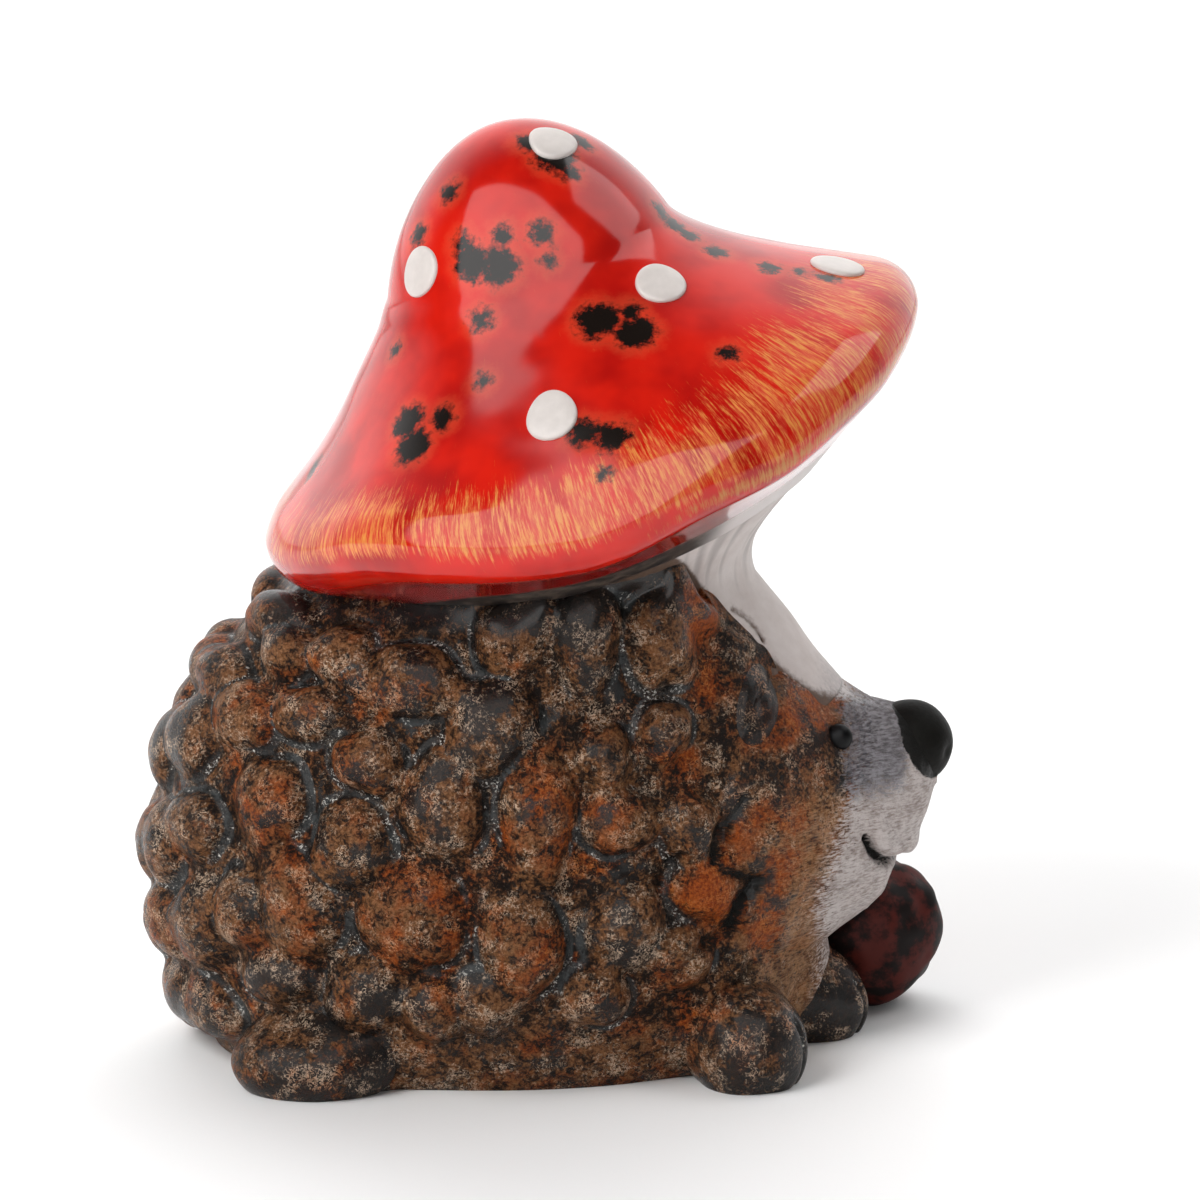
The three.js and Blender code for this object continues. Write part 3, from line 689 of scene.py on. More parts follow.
to_head, to_stem = outside_head(flank), outside_stem(flank)
calm = ease(-1, 3, flank[..., 2]) * ease(-4, 5, to_head)
to_front = np.cos(np.arctan2(upright(flank)[..., 1], upright(flank)[..., 0]))
relief, line = relief * calm, line * calm
swell = smeared(to_head) * ease(2, 9, flank[..., 2]) * ease(-1, 5, to_stem)
swell += smeared(outside_paws(flank), PAW_SMEAR)
shoulder = ease(36, 30, flank[..., 0]) * ease(-0.95, -0.6, to_front) * ease(60, 68, flank[..., 2])
swell += smeared(below_cap(flank), CAP_SMEAR) * shoulder
lump = lumps(flank, 8, 1) * 0.5 + lumps(flank, 3.2, 2) * 0.28
flank = push(flank, relief + swell + lump * calm)
print("the clay swells by up to", swell.max().round(1), "mm")

# %% The shoulder under the cap
CLIMB = 4

climb = ease(2, 12, flank[..., 0]) * ease(33, 28, flank[..., 0]) * ease(60, 74, flank[..., 2])
flank[..., 2] += CLIMB * climb
flank[..., 1] += CLIMB / 2 * climb * np.sign(flank[..., 1]) * ease(4, 16, np.abs(flank[..., 1]))
print("the shoulder climbs over", int((climb > 0.5).sum()), "points")

# %% Strokes, front edge and base
DRAIN_RADIUS = 6
DRAIN_DEPTH = 6
BASE_RINGS = 6

strokes, stroke_mark = carved(flank, CHEEK_STROKES)
flank = tucked(push(flank, -strokes))
flank[..., 2] = np.maximum(flank[..., 2], 0)
flank[0, :, 2] = 0
shares = np.linspace(0, 1, BASE_RINGS + 1)[:-1, None, None]
hole = np.stack([-DRAIN_RADIUS * np.cos(turn), DRAIN_RADIUS * np.sin(turn), 0 * turn], -1)
base = hole * (1 - shares) + flank[:1] * shares
coat_rings = np.concatenate([hole + (0, 0, DRAIN_DEPTH), base, flank])
print(len(coat_rings), "rings in the coat")

# %% The coat as a piece
below = lambda field: np.concatenate([np.zeros((BASE_RINGS + 1, COAT_COLUMNS)), field])
# rise is the relief's height: the oxide darkens low places with it as painted shade in the valleys, and near
# the foot the skirt holds it up so they are darkened less there
skirt = 0.6 * ease(15, 8, height + 0 * turn)
# the ledge under the cap: the coat is darkened there as painted shade under the rim, and glazed wet
ledge = ease(72.5, 77, flank[..., 2] - CLIMB * climb) * ease(34, 26, flank[..., 0])
coat = model("coat_skin", skin(
    coat_rings, line=below(line), ink=below(stroke_mark), ledge=below(ledge),
    rise=below(np.maximum(relief / PROUD, skirt)),
    tint=below(np.append(places[:, 4], 0)[owner] * calm), **face_marks(coat_rings),
), "spine_coat")

# %% [markdown]
# ## The head
# The face is the one smooth part: a pointed muzzle, an incised smile and cheeks that run back into the
# coat. The ovals are lofted finely, and the mouth, the lip and the eye sockets are pressed in.

# %% Rings of the head
HEAD_COLUMNS = 260
NECK_ROWS = 120
MUZZLE_ROWS = 91
MUZZLE_FROM = 60
MUZZLE_TO = 70.9
HEAD_SOFTENING = 8

to_muzzle = np.linspace(HEAD[0, 0], MUZZLE_FROM, NECK_ROWS)
stations = np.concatenate([to_muzzle, np.linspace(MUZZLE_FROM, MUZZLE_TO, MUZZLE_ROWS)[1:]])
around = once_round(HEAD_COLUMNS)
low, high, half = (smooth_rows(values[:, None], HEAD_SOFTENING) for values in head_at(stations))
squarish = lambda value: np.sign(value) * np.abs(value) ** (2 / HEAD_SQUARENESS)
head_rings = np.stack([
    stations[:, None] + 0 * around,
    half * squarish(np.cos(around)),
    (low + high) / 2 + (high - low) / 2 * squarish(np.sin(around)),
], -1)
print(len(head_rings), "rings in the head")

# %% Smile, lip and eye sockets
SMILE = [(59.6, 36.4), (60.5, 34), (61.8, 32.2), (63.4, 31.2), (65.2, 31)]
SMILE_FRONT = (66, 0, 30.7)
MOUTH_DEPTH = 2.0
MOUTH_WIDTH = 0.85
SOCKET_DEPTH = 0.5
SOCKET_RADIUS = 2.3
LIP_RISE = 0.8
LIP_ABOVE = 2.6
LIP_WIDTH = 1.7

mouth = [cheek(*at) for at in SMILE] + [SMILE_FRONT]
from_mouth = from_run(head_rings, mouth)
eye_middle = middle_of("eye_far")[0]
from_eye = from_run(head_rings, [eye_middle, eye_middle + (0.01, 0, 0)])
lip = LIP_RISE * bell(from_mouth - LIP_ABOVE, LIP_WIDTH) * ease(59, 62, head_rings[..., 0])
lip *= head_rings[..., 2] > np.interp(head_rings[..., 0], [p[0] for p in mouth], [p[2] for p in mouth])
swell = smeared(outside_loaf(head_rings)) * ease(-1, 5, outside_stem(head_rings))
depth = swell + lip - MOUTH_DEPTH * bell(from_mouth, MOUTH_WIDTH)
depth -= SOCKET_DEPTH * np.exp(-(from_eye / SOCKET_RADIUS) ** 6)
depth += (lumps(head_rings, 9, 3) * 0.4 + lumps(head_rings, 3, 4) * 0.16) * ease(66, 56, head_rings[..., 0])
head_rings = push(head_rings, depth)
print("the mouth is pressed", MOUTH_DEPTH, "mm deep")

# %% The head as a piece
NOSE_PAINT = 6.9
MOUTH_PAINT = 0.9

strokes, stroke_mark = carved(head_rings, CHEEK_STROKES)
head_rings = tucked(push(head_rings, -strokes))
from_nose = np.linalg.norm((head_rings - middle_of("nose")[0]) * (1, 0.78, 1), axis=-1)
from_nose += 0.25 * lumps(head_rings, 2, 8)
nose_paint = ease(NOSE_PAINT + 0.3, NOSE_PAINT - 0.3, from_nose)
mouth_paint = 0.9 * bell(from_mouth, MOUTH_PAINT)
head = model("head_skin", skin(
    head_rings, rise=0.7 + 0 * from_mouth,
    ink=np.maximum(nose_paint, np.maximum(mouth_paint, stroke_mark)), **face_marks(head_rings),
), "head")

# %% [markdown]
# ## Nose, eyes and ears
# The nose is a pressed ball with two shallow nostrils. The eyes are beads of black glaze. The ears are
# small leaves of clay with a thumbed hollow, laid on whatever skin is under them: a ray from outside
# finds it.

# %% Balls of clay
NOSTRIL_AT = (0.8, 0.45, -0.1)
NOSTRIL_SIZE = 0.17
NOSTRIL_DEPTH = 0.5
EYE_SHARES = (1.08, 0.85, 1.04)


def ball(middle, half, rows=70, columns=110):
    """Rings of a ball, from its bottom to its top."""
    up = np.linspace(-math.pi / 2, math.pi / 2, rows + 2)[1:-1, None]
    around = once_round(columns)
    unit = np.stack([np.cos(up) * np.cos(around), np.cos(up) * np.sin(around), np.sin(up) + 0 * around], -1)
    return unit * half + middle, unit


place, half = middle_of("nose")
nose_rings, unit = ball(place, half * (1, 1.02, 0.98))
nostril = np.zeros(unit.shape[:2])
for side in (-1, 1):
    toward = np.array(NOSTRIL_AT) * (1, side, 1)
    apart = np.linalg.norm(unit - toward / np.linalg.norm(toward), axis=-1)
    nostril = np.maximum(nostril, bell(apart, NOSTRIL_SIZE))
nose_rings = push(nose_rings, lumps(nose_rings, 5, 5) * 0.25 - NOSTRIL_DEPTH * nostril)
nose = model("nose_skin", skin(nose_rings), "nose")

eyes = []
for label in ("near", "far"):
    place, half = middle_of("eye_" + label)
    eye_rings, unit = ball(place, half * EYE_SHARES, 40, 60)
    eyes.append(model("eye_skin_" + label, skin(eye_rings), "eye_" + label))

# %% What lies under an ear
CAST_FROM = 20


def skin_height(points, normal, pieces):
    """How far the outermost of the skins lies above points, along the normal."""
    best = np.full(points.shape[:-1], -1e3)
    for piece in pieces:
        tree = BVHTree.FromObject(piece, bpy.context.evaluated_depsgraph_get())
        for spot in np.ndindex(best.shape):
            start = (points[spot] + CAST_FROM * normal + (coat_middle, 0, 0)) * MM
            reached = tree.ray_cast(Vector(start), Vector(-normal))[3]
            if reached is not None:
                best[spot] = max(best[spot], CAST_FROM - reached / MM)
    return best


print("rays start", CAST_FROM, "mm outside the loaf")

# %% Ears
EAR_ANGLE = 144
EAR_HEIGHT = 60
EAR_HALF = (4.6, 6.8)
EAR_TILT = 0.45
EAR_PROUD = 2.0
EAR_HOLLOW = 1.3
EAR_HOLLOW_SHARE = 0.4
EAR_SINK = 0.15
EAR_ROOT = -3.0
EAR_COLUMNS = 90

ears = []
out = np.concatenate([np.linspace(0.03, 1, 40), [1]])[:, None]
around = once_round(EAR_COLUMNS)
leaf = EAR_PROUD * np.maximum(0, 1 - out ** 2) ** 1.5 - EAR_HOLLOW * bell(out, EAR_HOLLOW_SHARE) - EAR_SINK
v = EAR_HALF[1] * out * np.sin(around)
u = EAR_HALF[0] * out * np.cos(around) - EAR_TILT * v
soot = 2.0 * ease(1.0, 0.7, out) + 0 * around
for label, side in (("near", -1), ("far", 1)):
    directions = directions_on_loaf(math.radians(EAR_ANGLE), EAR_HEIGHT)
    middle, along, upward, normal = (vector * (1, side, 1) for vector in directions)
    bed = middle + u[..., None] * along - v[..., None] * upward
    lie = skin_height(bed, normal, [coat, head])
    rise = leaf + lie
    rise[-1] = lie[-1] + EAR_ROOT
    ear_rings = bed + rise[..., None] * normal
    ears.append(model("ear_skin_" + label, skin(
        ear_rings, soot=soot, rise=0.6 + 0 * soot, **face_marks(ear_rings),
    ), "ear_" + label))

# %% [markdown]
# ## Paws and apple
# Paws are thumb-rolled lumps, pressed flat where they stand, with the toes parted by a tool. The apple
# is a knobbly little ball with a dimple for its stalk. Both start from the ball and are pushed about.

# %% Paws
TOE_PARTING = 0.3
TOE_LINE = 0.07

paws = []
for n, (name, (middle, half, toe_depth, paw_shade_and_soot)) in enumerate(PAWS.items()):
    paw_rings, unit = ball(np.array(middle, float), np.array(half), 90, 140)
    part = np.minimum(np.abs(unit[..., 1] - TOE_PARTING), np.abs(unit[..., 1] + TOE_PARTING))
    toes = bell(part, TOE_LINE) * ease(0.35, 0.8, unit[..., 0]) * ease(0.7, 0.4, unit[..., 2])
    swell = smeared(outside_loaf(paw_rings), PAW_SMEAR)
    paw_rings = push(paw_rings, swell + lumps(paw_rings, 6, 7 + n) * 0.4 - toe_depth * toes)
    paw_rings[..., 2] = np.maximum(paw_rings[..., 2], 0)
    # darker towards each paw's front and bottom, on top of the paw's own level; the bottom and the far fore
    # paw's level are painted shade
    soot = paw_shade_and_soot + 0.8 * ease(0.3, 0.95, unit[..., 0]) + 0.3 * ease(0, -0.5, unit[..., 2])
    paws.append(model(name + "_skin", skin(
        paw_rings, line=toes, soot=soot, rise=0.6 + 0 * soot,
    ), name))

# %% Apple
APPLE_RADIUS = 13
APPLE_MIDDLE_HEIGHT = 12.4
APPLE_DIMPLE = 3

place, half = middle_of("apple")
apple_middle = np.array((place[0], place[1], APPLE_MIDDLE_HEIGHT))
apple_rings, unit = ball(apple_middle, np.array((1, 1, 1)) * APPLE_RADIUS, 90, 130)
apple_rings[..., 2] -= APPLE_DIMPLE * np.maximum(0, unit[..., 2]) ** 6
apple_rings = push(apple_rings, lumps(apple_rings, 9, 12) * 0.9 + lumps(apple_rings, 4, 13) * 0.6 - 0.3)
apple_rings[..., 2] = np.maximum(apple_rings[..., 2], 0)
apple = model("apple_skin", skin(apple_rings), "apple")

# %% [markdown]
# ## The toadstool
# Cap and stem are thrown forms, so each is an outline turned round an axis. Then the soft clay is
# allowed to move: the brim droops at both flanks, the crown nods forward and the rim waves a little.
# All of it leans back by 22 degrees. A place on the cap is given by its angle from the front and its
# distance from the crown along the surface, as a tape measure would give it.

# %% Outline of the cap
CAP_RADIUS = 54.5
CAP_HEIGHT = 49.3
WAIST_RADIUS = 23.7
WAIST_HEIGHT = 27.6
RIM_ROLL = 7.2
RIM_TUCK = math.radians(55)
BRIM_SLOPE = math.radians(33.2)
BRIM_STRAIGHT = 12.8
COLLAR = (32.8, -18)


def bend(*handles):
    """Points of a cubic curve through the first and last handle."""
    a, b, c, d = (np.array(h, float) for h in handles)
    t = np.linspace(0, 1, 60)[:, None]
    return (1 - t) ** 3 * a + 3 * (1 - t) ** 2 * t * b + 3 * (1 - t) * t * t * c + t ** 3 * d


roll_middle = np.array((CAP_RADIUS - RIM_ROLL, 0))
slope_out = np.array((math.sin(BRIM_SLOPE), math.cos(BRIM_SLOPE)))
brim = roll_middle + slope_out * RIM_ROLL
lead = brim + np.array((-slope_out[1], slope_out[0])) * BRIM_STRAIGHT
rise = lambda share: WAIST_HEIGHT + (CAP_HEIGHT - WAIST_HEIGHT) * share
crown_curve = bend(
    (0, CAP_HEIGHT), (0.47 * WAIST_RADIUS, CAP_HEIGHT),
    (0.83 * WAIST_RADIUS, rise(0.5)), (WAIST_RADIUS, WAIST_HEIGHT),
)
bell_curve = bend((WAIST_RADIUS, WAIST_HEIGHT), (1.05 * WAIST_RADIUS, rise(-0.26)), lead, brim)
rolled = np.linspace(math.pi / 2 - BRIM_SLOPE, -RIM_TUCK, 50)
roll_curve = roll_middle + RIM_ROLL * np.stack([np.cos(rolled), np.sin(rolled)], -1)
under_curve = np.linspace(roll_curve[-1], COLLAR, 30)
outline = np.concatenate([crown_curve, bell_curve[1:], roll_curve[1:], under_curve[1:]])
tape = np.concatenate([[0], np.cumsum(np.linalg.norm(np.diff(outline, axis=0), axis=1))])
rim_edge = tape[len(outline) - len(under_curve)]
print("from the crown to the rim's edge:", round(rim_edge, 1), "mm")

# %% The drape
BRIM_DROOP = 6.7
CROWN_NOD = 3.4
BRIM_REACH = 1.5
BACK_SWAY = 1.6
BACK_SWAY_HEIGHT = 16
BACK_SWAY_SPAN = 28
RIM_WAVE = 0.5
HIND_LIFT = 4.0
HIND_LIFT_AT = math.radians(130)
HIND_LIFT_SPAN = 0.35


def draped(points):
    """Where a point of the turned cap goes when the soft clay moves."""
    x, y, z = np.moveaxis(points, -1, 0)
    angle = np.arctan2(y, x)
    spread = np.maximum(0, (np.hypot(x, y) - DROOP_FROM) / (CAP_RADIUS - DROOP_FROM))
    flank = np.maximum(0, np.cos(np.abs(angle) - DROOP_DIRECTION)) ** 2
    front = np.maximum(0, np.cos(angle)) ** 3 * ease(-RIM_ROLL, 0, z)
    sway = np.clip((z - BACK_SWAY_HEIGHT) / BACK_SWAY_SPAN, -0.5, 0.5)
    reach = BRIM_REACH * front * spread ** 3
    reach += BACK_SWAY * np.maximum(0, -np.cos(angle)) * np.sin(2 * math.pi * sway)
    wave = RIM_WAVE * (np.sin(7 * angle + 1) + 0.7 * np.sin(11 * angle)) * spread ** 3 * flank
    nod = CROWN_NOD * (np.maximum(0, z) / CAP_HEIGHT) ** 2
    hind = bell(np.abs(angle) - HIND_LIFT_AT, HIND_LIFT_SPAN)
    droop = (BRIM_DROOP * flank - HIND_LIFT * hind) * spread ** 1.5 + wave
    return np.stack([x + nod + reach * np.cos(angle), y + reach * np.sin(angle), z - droop], -1)


def on_cap(angle, down):
    """A point of the cap at an angle from the front, and a distance down from the crown."""
    radius = np.interp(down, tape, outline[:, 0])
    height = np.interp(down, tape, outline[:, 1])
    return leaned(draped(np.stack([radius * np.cos(angle), radius * np.sin(angle), height], -1)))


print("crown of the cap at", on_cap(np.array([0.0]), np.array([0.0])).round(1).tolist())

# %% Where the glaze broke black
BLACK_SPOTS = np.array([
    # angle from the front, distance from the crown, radius: first the side of the photograph
    (-108, 27.5, 2.4), (-97, 29.5, 2.5), (-93, 25.1, 1), (-113, 23.9, 1), (-108, 36.7, 1.2),
    (-76, 27.1, 1.3), (-78, 31.5, 0.4), (-108, 47.1, 0.8), (-125, 14.7, 1.1), (-144, 21.1, 1.2),
    (-72, 44.3, 2.8), (-65, 49.1, 2.6), (-62, 45.5, 1.2), (-130, 51.9, 2.3), (-126, 57.1, 2.6),
    (-119, 52.3, 1.4), (-87, 60.7, 1.8), (-82, 63.5, 2.1), (-86, 68.3, 0.5), (-47, 16.3, 2.8),
    (-53, 11.1, 1.3), (-18, 17.1, 1.2), (-47, 19.9, 1.1), (-148, 37.9, 0.5), (-15, 34.3, 1.3),
    (-15, 37.5, 1.5), (-16, 39.9, 1.2), (-20, 45.5, 1.2), (-18, 53.9, 1.2), (-16, 58.3, 0.8),
    (-15, 62.7, 1.2), (-52, 60.3, 0.9), (-170, 61.1, 1.5),
    (70, 28, 2.5), (79, 30, 2.2), (64, 25, 1), (100, 42, 2.7), (107, 46, 2.4), (125, 24, 1.4),
    (40, 48, 2.4), (46, 52, 2.1), (75, 57, 2.3), (70, 61, 1.7), (140, 50, 2.5), (146, 54, 2),
    (165, 32, 2), (172, 35, 1.4), (20, 27, 1.3), (108, 64, 1.2), (30, 62, 1), (178, 50, 1.2), (95, 18, 1.3),
])
FAR_FROM_SPOTS = 12.0


def from_spots(points):
    """Distance of points from the nearest black spot's edge."""
    best = np.full(points.shape[:-1], FAR_FROM_SPOTS)
    for angle, down, radius in BLACK_SPOTS:
        middle = on_cap(np.radians(angle), down)
        best = np.minimum(best, np.linalg.norm(points - middle, axis=-1) - radius)
    return best


print(len(BLACK_SPOTS), "spots")

# %% Rings of the cap
CAP_COLUMNS = 480
CAP_ROWS = 150
CROWN_HOLE = 0.4

angle = np.linspace(-math.pi, math.pi, CAP_COLUMNS, endpoint=False)[None, :]
down = np.linspace(CROWN_HOLE, tape[-1], CAP_ROWS)[:, None]
cap_rings = on_cap(angle, down + 0 * angle)
glaze_hills = lumps(cap_rings, 15, 20) * 0.22 + lumps(cap_rings, 6, 21) * 0.05
cap_rings = push(cap_rings, glaze_hills * ease(0, 4, down))
print("the glaze has hills of", np.abs(glaze_hills).max().round(2), "mm")

# %% Where the glaze and the brush went on the cap
RED_UNDER = 13
RIM_LINE = 4
RIM_LINE_WIDTH = 1.8
BRUSH_LENGTH = 8

above_edge = rim_edge - down + 0 * angle
ahead = np.cos(angle) + 0 * down
front = np.maximum(0, ahead)
band = ease(4.5 - 3 * front, 9 - 4 * front, above_edge) * ease(23 + 10 * front, 12 + 3 * front, above_edge)
under = above_edge + RED_UNDER * (1 - 0.05 * front)
rim_line = bell(above_edge - RIM_LINE, RIM_LINE_WIDTH) * ease(-0.1, 0.5, ahead)
round_rim = CAP_RADIUS * np.stack([np.cos(angle) + 0 * down, np.sin(angle) + 0 * down], -1)
brush = np.concatenate([round_rim, (above_edge / BRUSH_LENGTH)[..., None]], -1)
print("strands are", BRUSH_LENGTH, "times as long as they are wide")

# %% The cap as a piece
STEM_TENON = (11, 0.5)
STEM_SHOULDER = -15.8
SLIP_SEAM = 0.3
HIDDEN = -20.0

socket = []
socket_height = STEM_SHOULDER + SLIP_SEAM
tenon_hole = (STEM_TENON[0] + SLIP_SEAM, STEM_TENON[1] + SLIP_SEAM)
for radius, level in ((COLLAR[0] + SLIP_SEAM, socket_height), (tenon_hole[0], socket_height), tenon_hole):
    ring = np.stack([radius * np.cos(angle[0]), radius * np.sin(angle[0]), 0 * angle[0] + level], -1)
    socket.append(leaned(ring))
fill = lambda values, rest: np.concatenate([values, np.full((len(socket), *values.shape[1:]), rest)])
cap = model("cap_skin", skin(
    np.concatenate([cap_rings, np.array(socket)]),
    spot=fill(from_spots(cap_rings), FAR_FROM_SPOTS), edge=fill(above_edge, HIDDEN),
    under=fill(under, HIDDEN), band=fill(band, 0.0), rim_line=fill(rim_line, 0.0),
    ahead=fill(ahead, 0.0), brush=fill(brush, 0.0),
), "toadstool_cap")

# %% Rings of the stem
STEM_STROKES = [
    ([(37.8, 11.3, 73.6), (39.9, 10.6, 72.2), (41.6, 10.3, 70.4), (42.9, 10.9, 68.3)], 0.4, 0.35, 0.6),
    ([(42.5, 12.1, 67.3), (44.6, 12.3, 64.7), (48.1, 12.1, 60.9)], 0.4, 0.5, 0.6),
]
STEM_COLUMNS = 300
GILL_DEPTH = 0.15
SEEN_BELOW = -17.9

widening, rising = COLLAR[0] - NECK[0], COLLAR[1] - NECK[1]
stem_outline = np.concatenate([
    np.array([(0.5, STEM_TENON[1]), STEM_TENON, (STEM_TENON[0], STEM_SHOULDER), (COLLAR[0], STEM_SHOULDER)]),
    bend(
        COLLAR, (NECK[0] + 0.37 * widening, NECK[1] + 0.62 * rising),
        (NECK[0], NECK[1] + 0.45 * rising), NECK,
    ),
    np.linspace(NECK, FOOT, 60)[1:],
])
angle = once_round(STEM_COLUMNS)
radius, height = stem_outline[:, :1], stem_outline[:, 1:]
stem_rings = leaned(np.stack([radius * np.cos(angle), radius * np.sin(angle), height + 0 * angle], -1))
print(len(stem_rings), "rings in the stem")

# %% Gills, strokes and the stem as a piece
GILL_REACH = 40
GILL_LENGTH = 6

visible = 1.0 * (height < SEEN_BELOW)
flare = ease(-36, -24, height) * visible
round_stem = GILL_REACH * np.stack([np.cos(angle) + 0 * radius, np.sin(angle) + 0 * radius], -1)
wide = np.concatenate([round_stem, (height / GILL_LENGTH + 0 * angle)[..., None]], -1)
gills = ease(0.05, 0.45, lumps(wide, 2.2, 30)) * flare
strokes, stroke_mark = carved(stem_rings, STEM_STROKES)
stem_rings = push(stem_rings, visible * (lumps(stem_rings, 10, 31) * 0.4 - GILL_DEPTH * gills - strokes))
stain = ease(1.6, -0.8, stem_rings[..., 2] - coat_edge(stem_rings[..., 0]))
stem = model("stem_skin", skin(
    stem_rings, gill=gills, stain=np.maximum(stain, stroke_mark), fade=ease(47, 56, stem_rings[..., 0]),
), "toadstool_stem")

# %% Enamel dots
DOT_RADIUS = 4
DOT_RISE = 0.5
DOT_LIFT = 0.25
DOT_ROOT = -0.3
DOT_COLUMNS = 64
DOTS = {
    # name: angle from the front, distance in from the rim
    "crown": (-38, 42), "near_left": (-138, 33.9), "near_right": (-48, 24.6), "near_low": (-92, 14.3),
    "brim": (-8, 8.6), "far_right": (50, 24.5), "far_low": (90, 13.5), "far_left": (122, 29.5),
    "back": (150, 11.5),
}

dots = []
upper = len(crown_curve) + len(bell_curve) - 1
out = np.concatenate([np.linspace(0.04, 1, 24), [1.0, 0.5]])[:, None]
around = once_round(DOT_COLUMNS)
rise = DOT_LIFT + DOT_RISE * np.maximum(0, 1 - out ** 6) ** 0.5
rise[-2:] = DOT_ROOT
for n, (name, (degrees, inset)) in enumerate(DOTS.items()):
    radius = CAP_RADIUS - inset
    down = np.interp(radius, outline[:upper, 0], tape[:upper])
    edge = 1 + 0.03 * np.sin(2 * around + n) + 0.02 * np.sin(3 * around + 2 * n)
    turn = math.radians(degrees) + DOT_RADIUS * out * edge * np.cos(around) / radius
    bed = on_cap(turn, down + DOT_RADIUS * out * edge * np.sin(around))
    lift = outward(bed[:-2]).mean((0, 1))
    lift /= np.linalg.norm(lift)
    away = np.sign(lift @ (on_cap(np.radians(degrees), down) - np.array(TOADSTOOL_PLACE)))
    dot_rings = bed + (rise + 0 * around)[..., None] * lift * away
    dots.append(model("dot_skin_" + name, skin(dot_rings), "dot_" + name))

# %% [markdown]
# ## Finishes
# Every pattern is laid out in millimetres of the figurine itself, so it runs on from one piece to the
# next. The marks that the shapes left on their points (channels, spots, the streaked band) steer
# where each colour goes.

# %% A fresh finish, and wearing it
BLEND = {"data_type": "RGBA"}
MULTIPLY = {"operation": "MULTIPLY"}
MULTIPLY_ADD = {"operation": "MULTIPLY_ADD"}


def finish(name, *marks):
    """A fresh material, its nodes, its place in millimetres and the marks that it reads."""
    made = bpy.data.materials.new(name)
    made.use_nodes = True
    tree = made.node_tree
    place = add(tree, "TexCoord", output="Object")
    place = add(tree, "VectorMath", {"operation": "SCALE"}, {0: place, "Scale": 1 / MM})
    read = {mark: add(tree, "Attribute", {"attribute_name": mark}, output="Fac") for mark in marks}
    return made, tree, place, read


def wear(pieces, material, surface):
    """Sets the shader's inputs and puts the finish on its pieces."""
    tree = material.node_tree
    set_inputs(tree, tree.nodes["Principled BSDF"], surface)
    for piece in pieces:
        piece.data.materials.clear()
        piece.data.materials.append(material)
    print(material.name, "on", len(pieces))


print("pieces to finish:", len([coat, head, nose, apple, cap, stem, *eyes, *ears, *paws, *dots]))

# %% [markdown]
# ### Red effect glaze
# The cap was dipped in a clear red glaze and fired to a high gloss. The eye gets a deep red that is
# darker where the glaze ran thick, black spots with feathered edges where a second glaze broke through,
# and a band of brush strands above the rim. A painted picture could show that too, but nodes follow the
# marks on the skin, so spots and strands stay sharp however close the camera comes.

# %% Cap: the red
CLOUD = 14

cap_glaze, tree, place, mark = finish(
    "red_effect_glaze_fired_glossy", "spot", "edge", "under", "band", "rim_line", "ahead")
cloud = add(tree, "TexNoise", links={"Vector": place, "Scale": 1 / CLOUD, "Detail": 3})
thin = add(tree, "MapRange", SOFT, {"Value": cloud, "From Min": 0.35, "From Max": 0.65})
red = add(tree, "Mix", BLEND, {"Factor": thin, "A": colour("#a60803"), "B": colour("#cf1907")})
print("clouds in the red are", CLOUD, "mm across")

# %% Cap: black spots
# a feathered black, and a paler halo where the spot drew the red off
FEATHER = 5 / 3

ragged = add(tree, "TexNoise", links={"Vector": place, "Scale": 1 / FEATHER, "Detail": 7, "Roughness": 0.72})
ragged = add(tree, "MapRange", links={
    "Value": ragged, "From Min": 0.3, "From Max": 0.7, "To Min": -1.9, "To Max": 0.9})
torn = add(tree, "Math", {"operation": "ADD"}, {0: mark["spot"], 1: ragged})
black = add(tree, "MapRange", SOFT, {"Value": torn, "From Min": 1.1, "From Max": -0.8})
near = add(tree, "Math", MULTIPLY_ADD, {0: ragged, 1: 0.5, 2: mark["spot"]})
halo = add(tree, "MapRange", SOFT, {"Value": near, "From Min": 3.2, "From Max": 0.4, "To Max": 0.26})
haloed = add(tree, "Mix", BLEND, {"Factor": halo, "A": red, "B": colour("#e2633c")})
print("spots are feathered over", round(FEATHER, 1), "mm")

# %% Cap: strands of the brush
# strands climb from the rim, pink where thin and orange where laid on thick; bristles of 0.1 mm would not
# show, so they are drawn as strands of 0.45 mm
STREAK_WIDTH = 0.45
STREAK_CLUMP = 5

brush = add(tree, "Attribute", {"attribute_name": "brush"}, output="Vector")
strand = add(tree, "TexNoise", links={
    "Vector": brush, "Scale": 1 / STREAK_WIDTH, "Detail": 4, "Roughness": 0.7})
clump = add(tree, "TexNoise", links={"Vector": brush, "Scale": 1 / STREAK_CLUMP, "Detail": 4})
share = add(tree, "MapRange", links={
    "Value": clump, "From Min": 0.36, "From Max": 0.62, "To Min": 0.4, "To Max": 1.08})
share = add(tree, "Math", MULTIPLY, {0: mark["band"], 1: share})
wet = add(tree, "Math", MULTIPLY_ADD, {0: share, 1: 0.5, 2: strand})
strands = add(tree, "MapRange", SOFT, {"Value": wet, "From Min": 0.66, "From Max": 0.98})
warm = add(tree, "MapRange", SOFT, {"Value": strand, "From Min": 0.42, "From Max": 0.66})
paint = add(tree, "Mix", BLEND, {"Factor": warm, "A": colour("#cc4732"), "B": colour("#d98d44")})
brushed = add(tree, "Mix", BLEND, {"Factor": strands, "A": haloed, "B": paint})
print("strands are", STREAK_WIDTH, "mm wide")

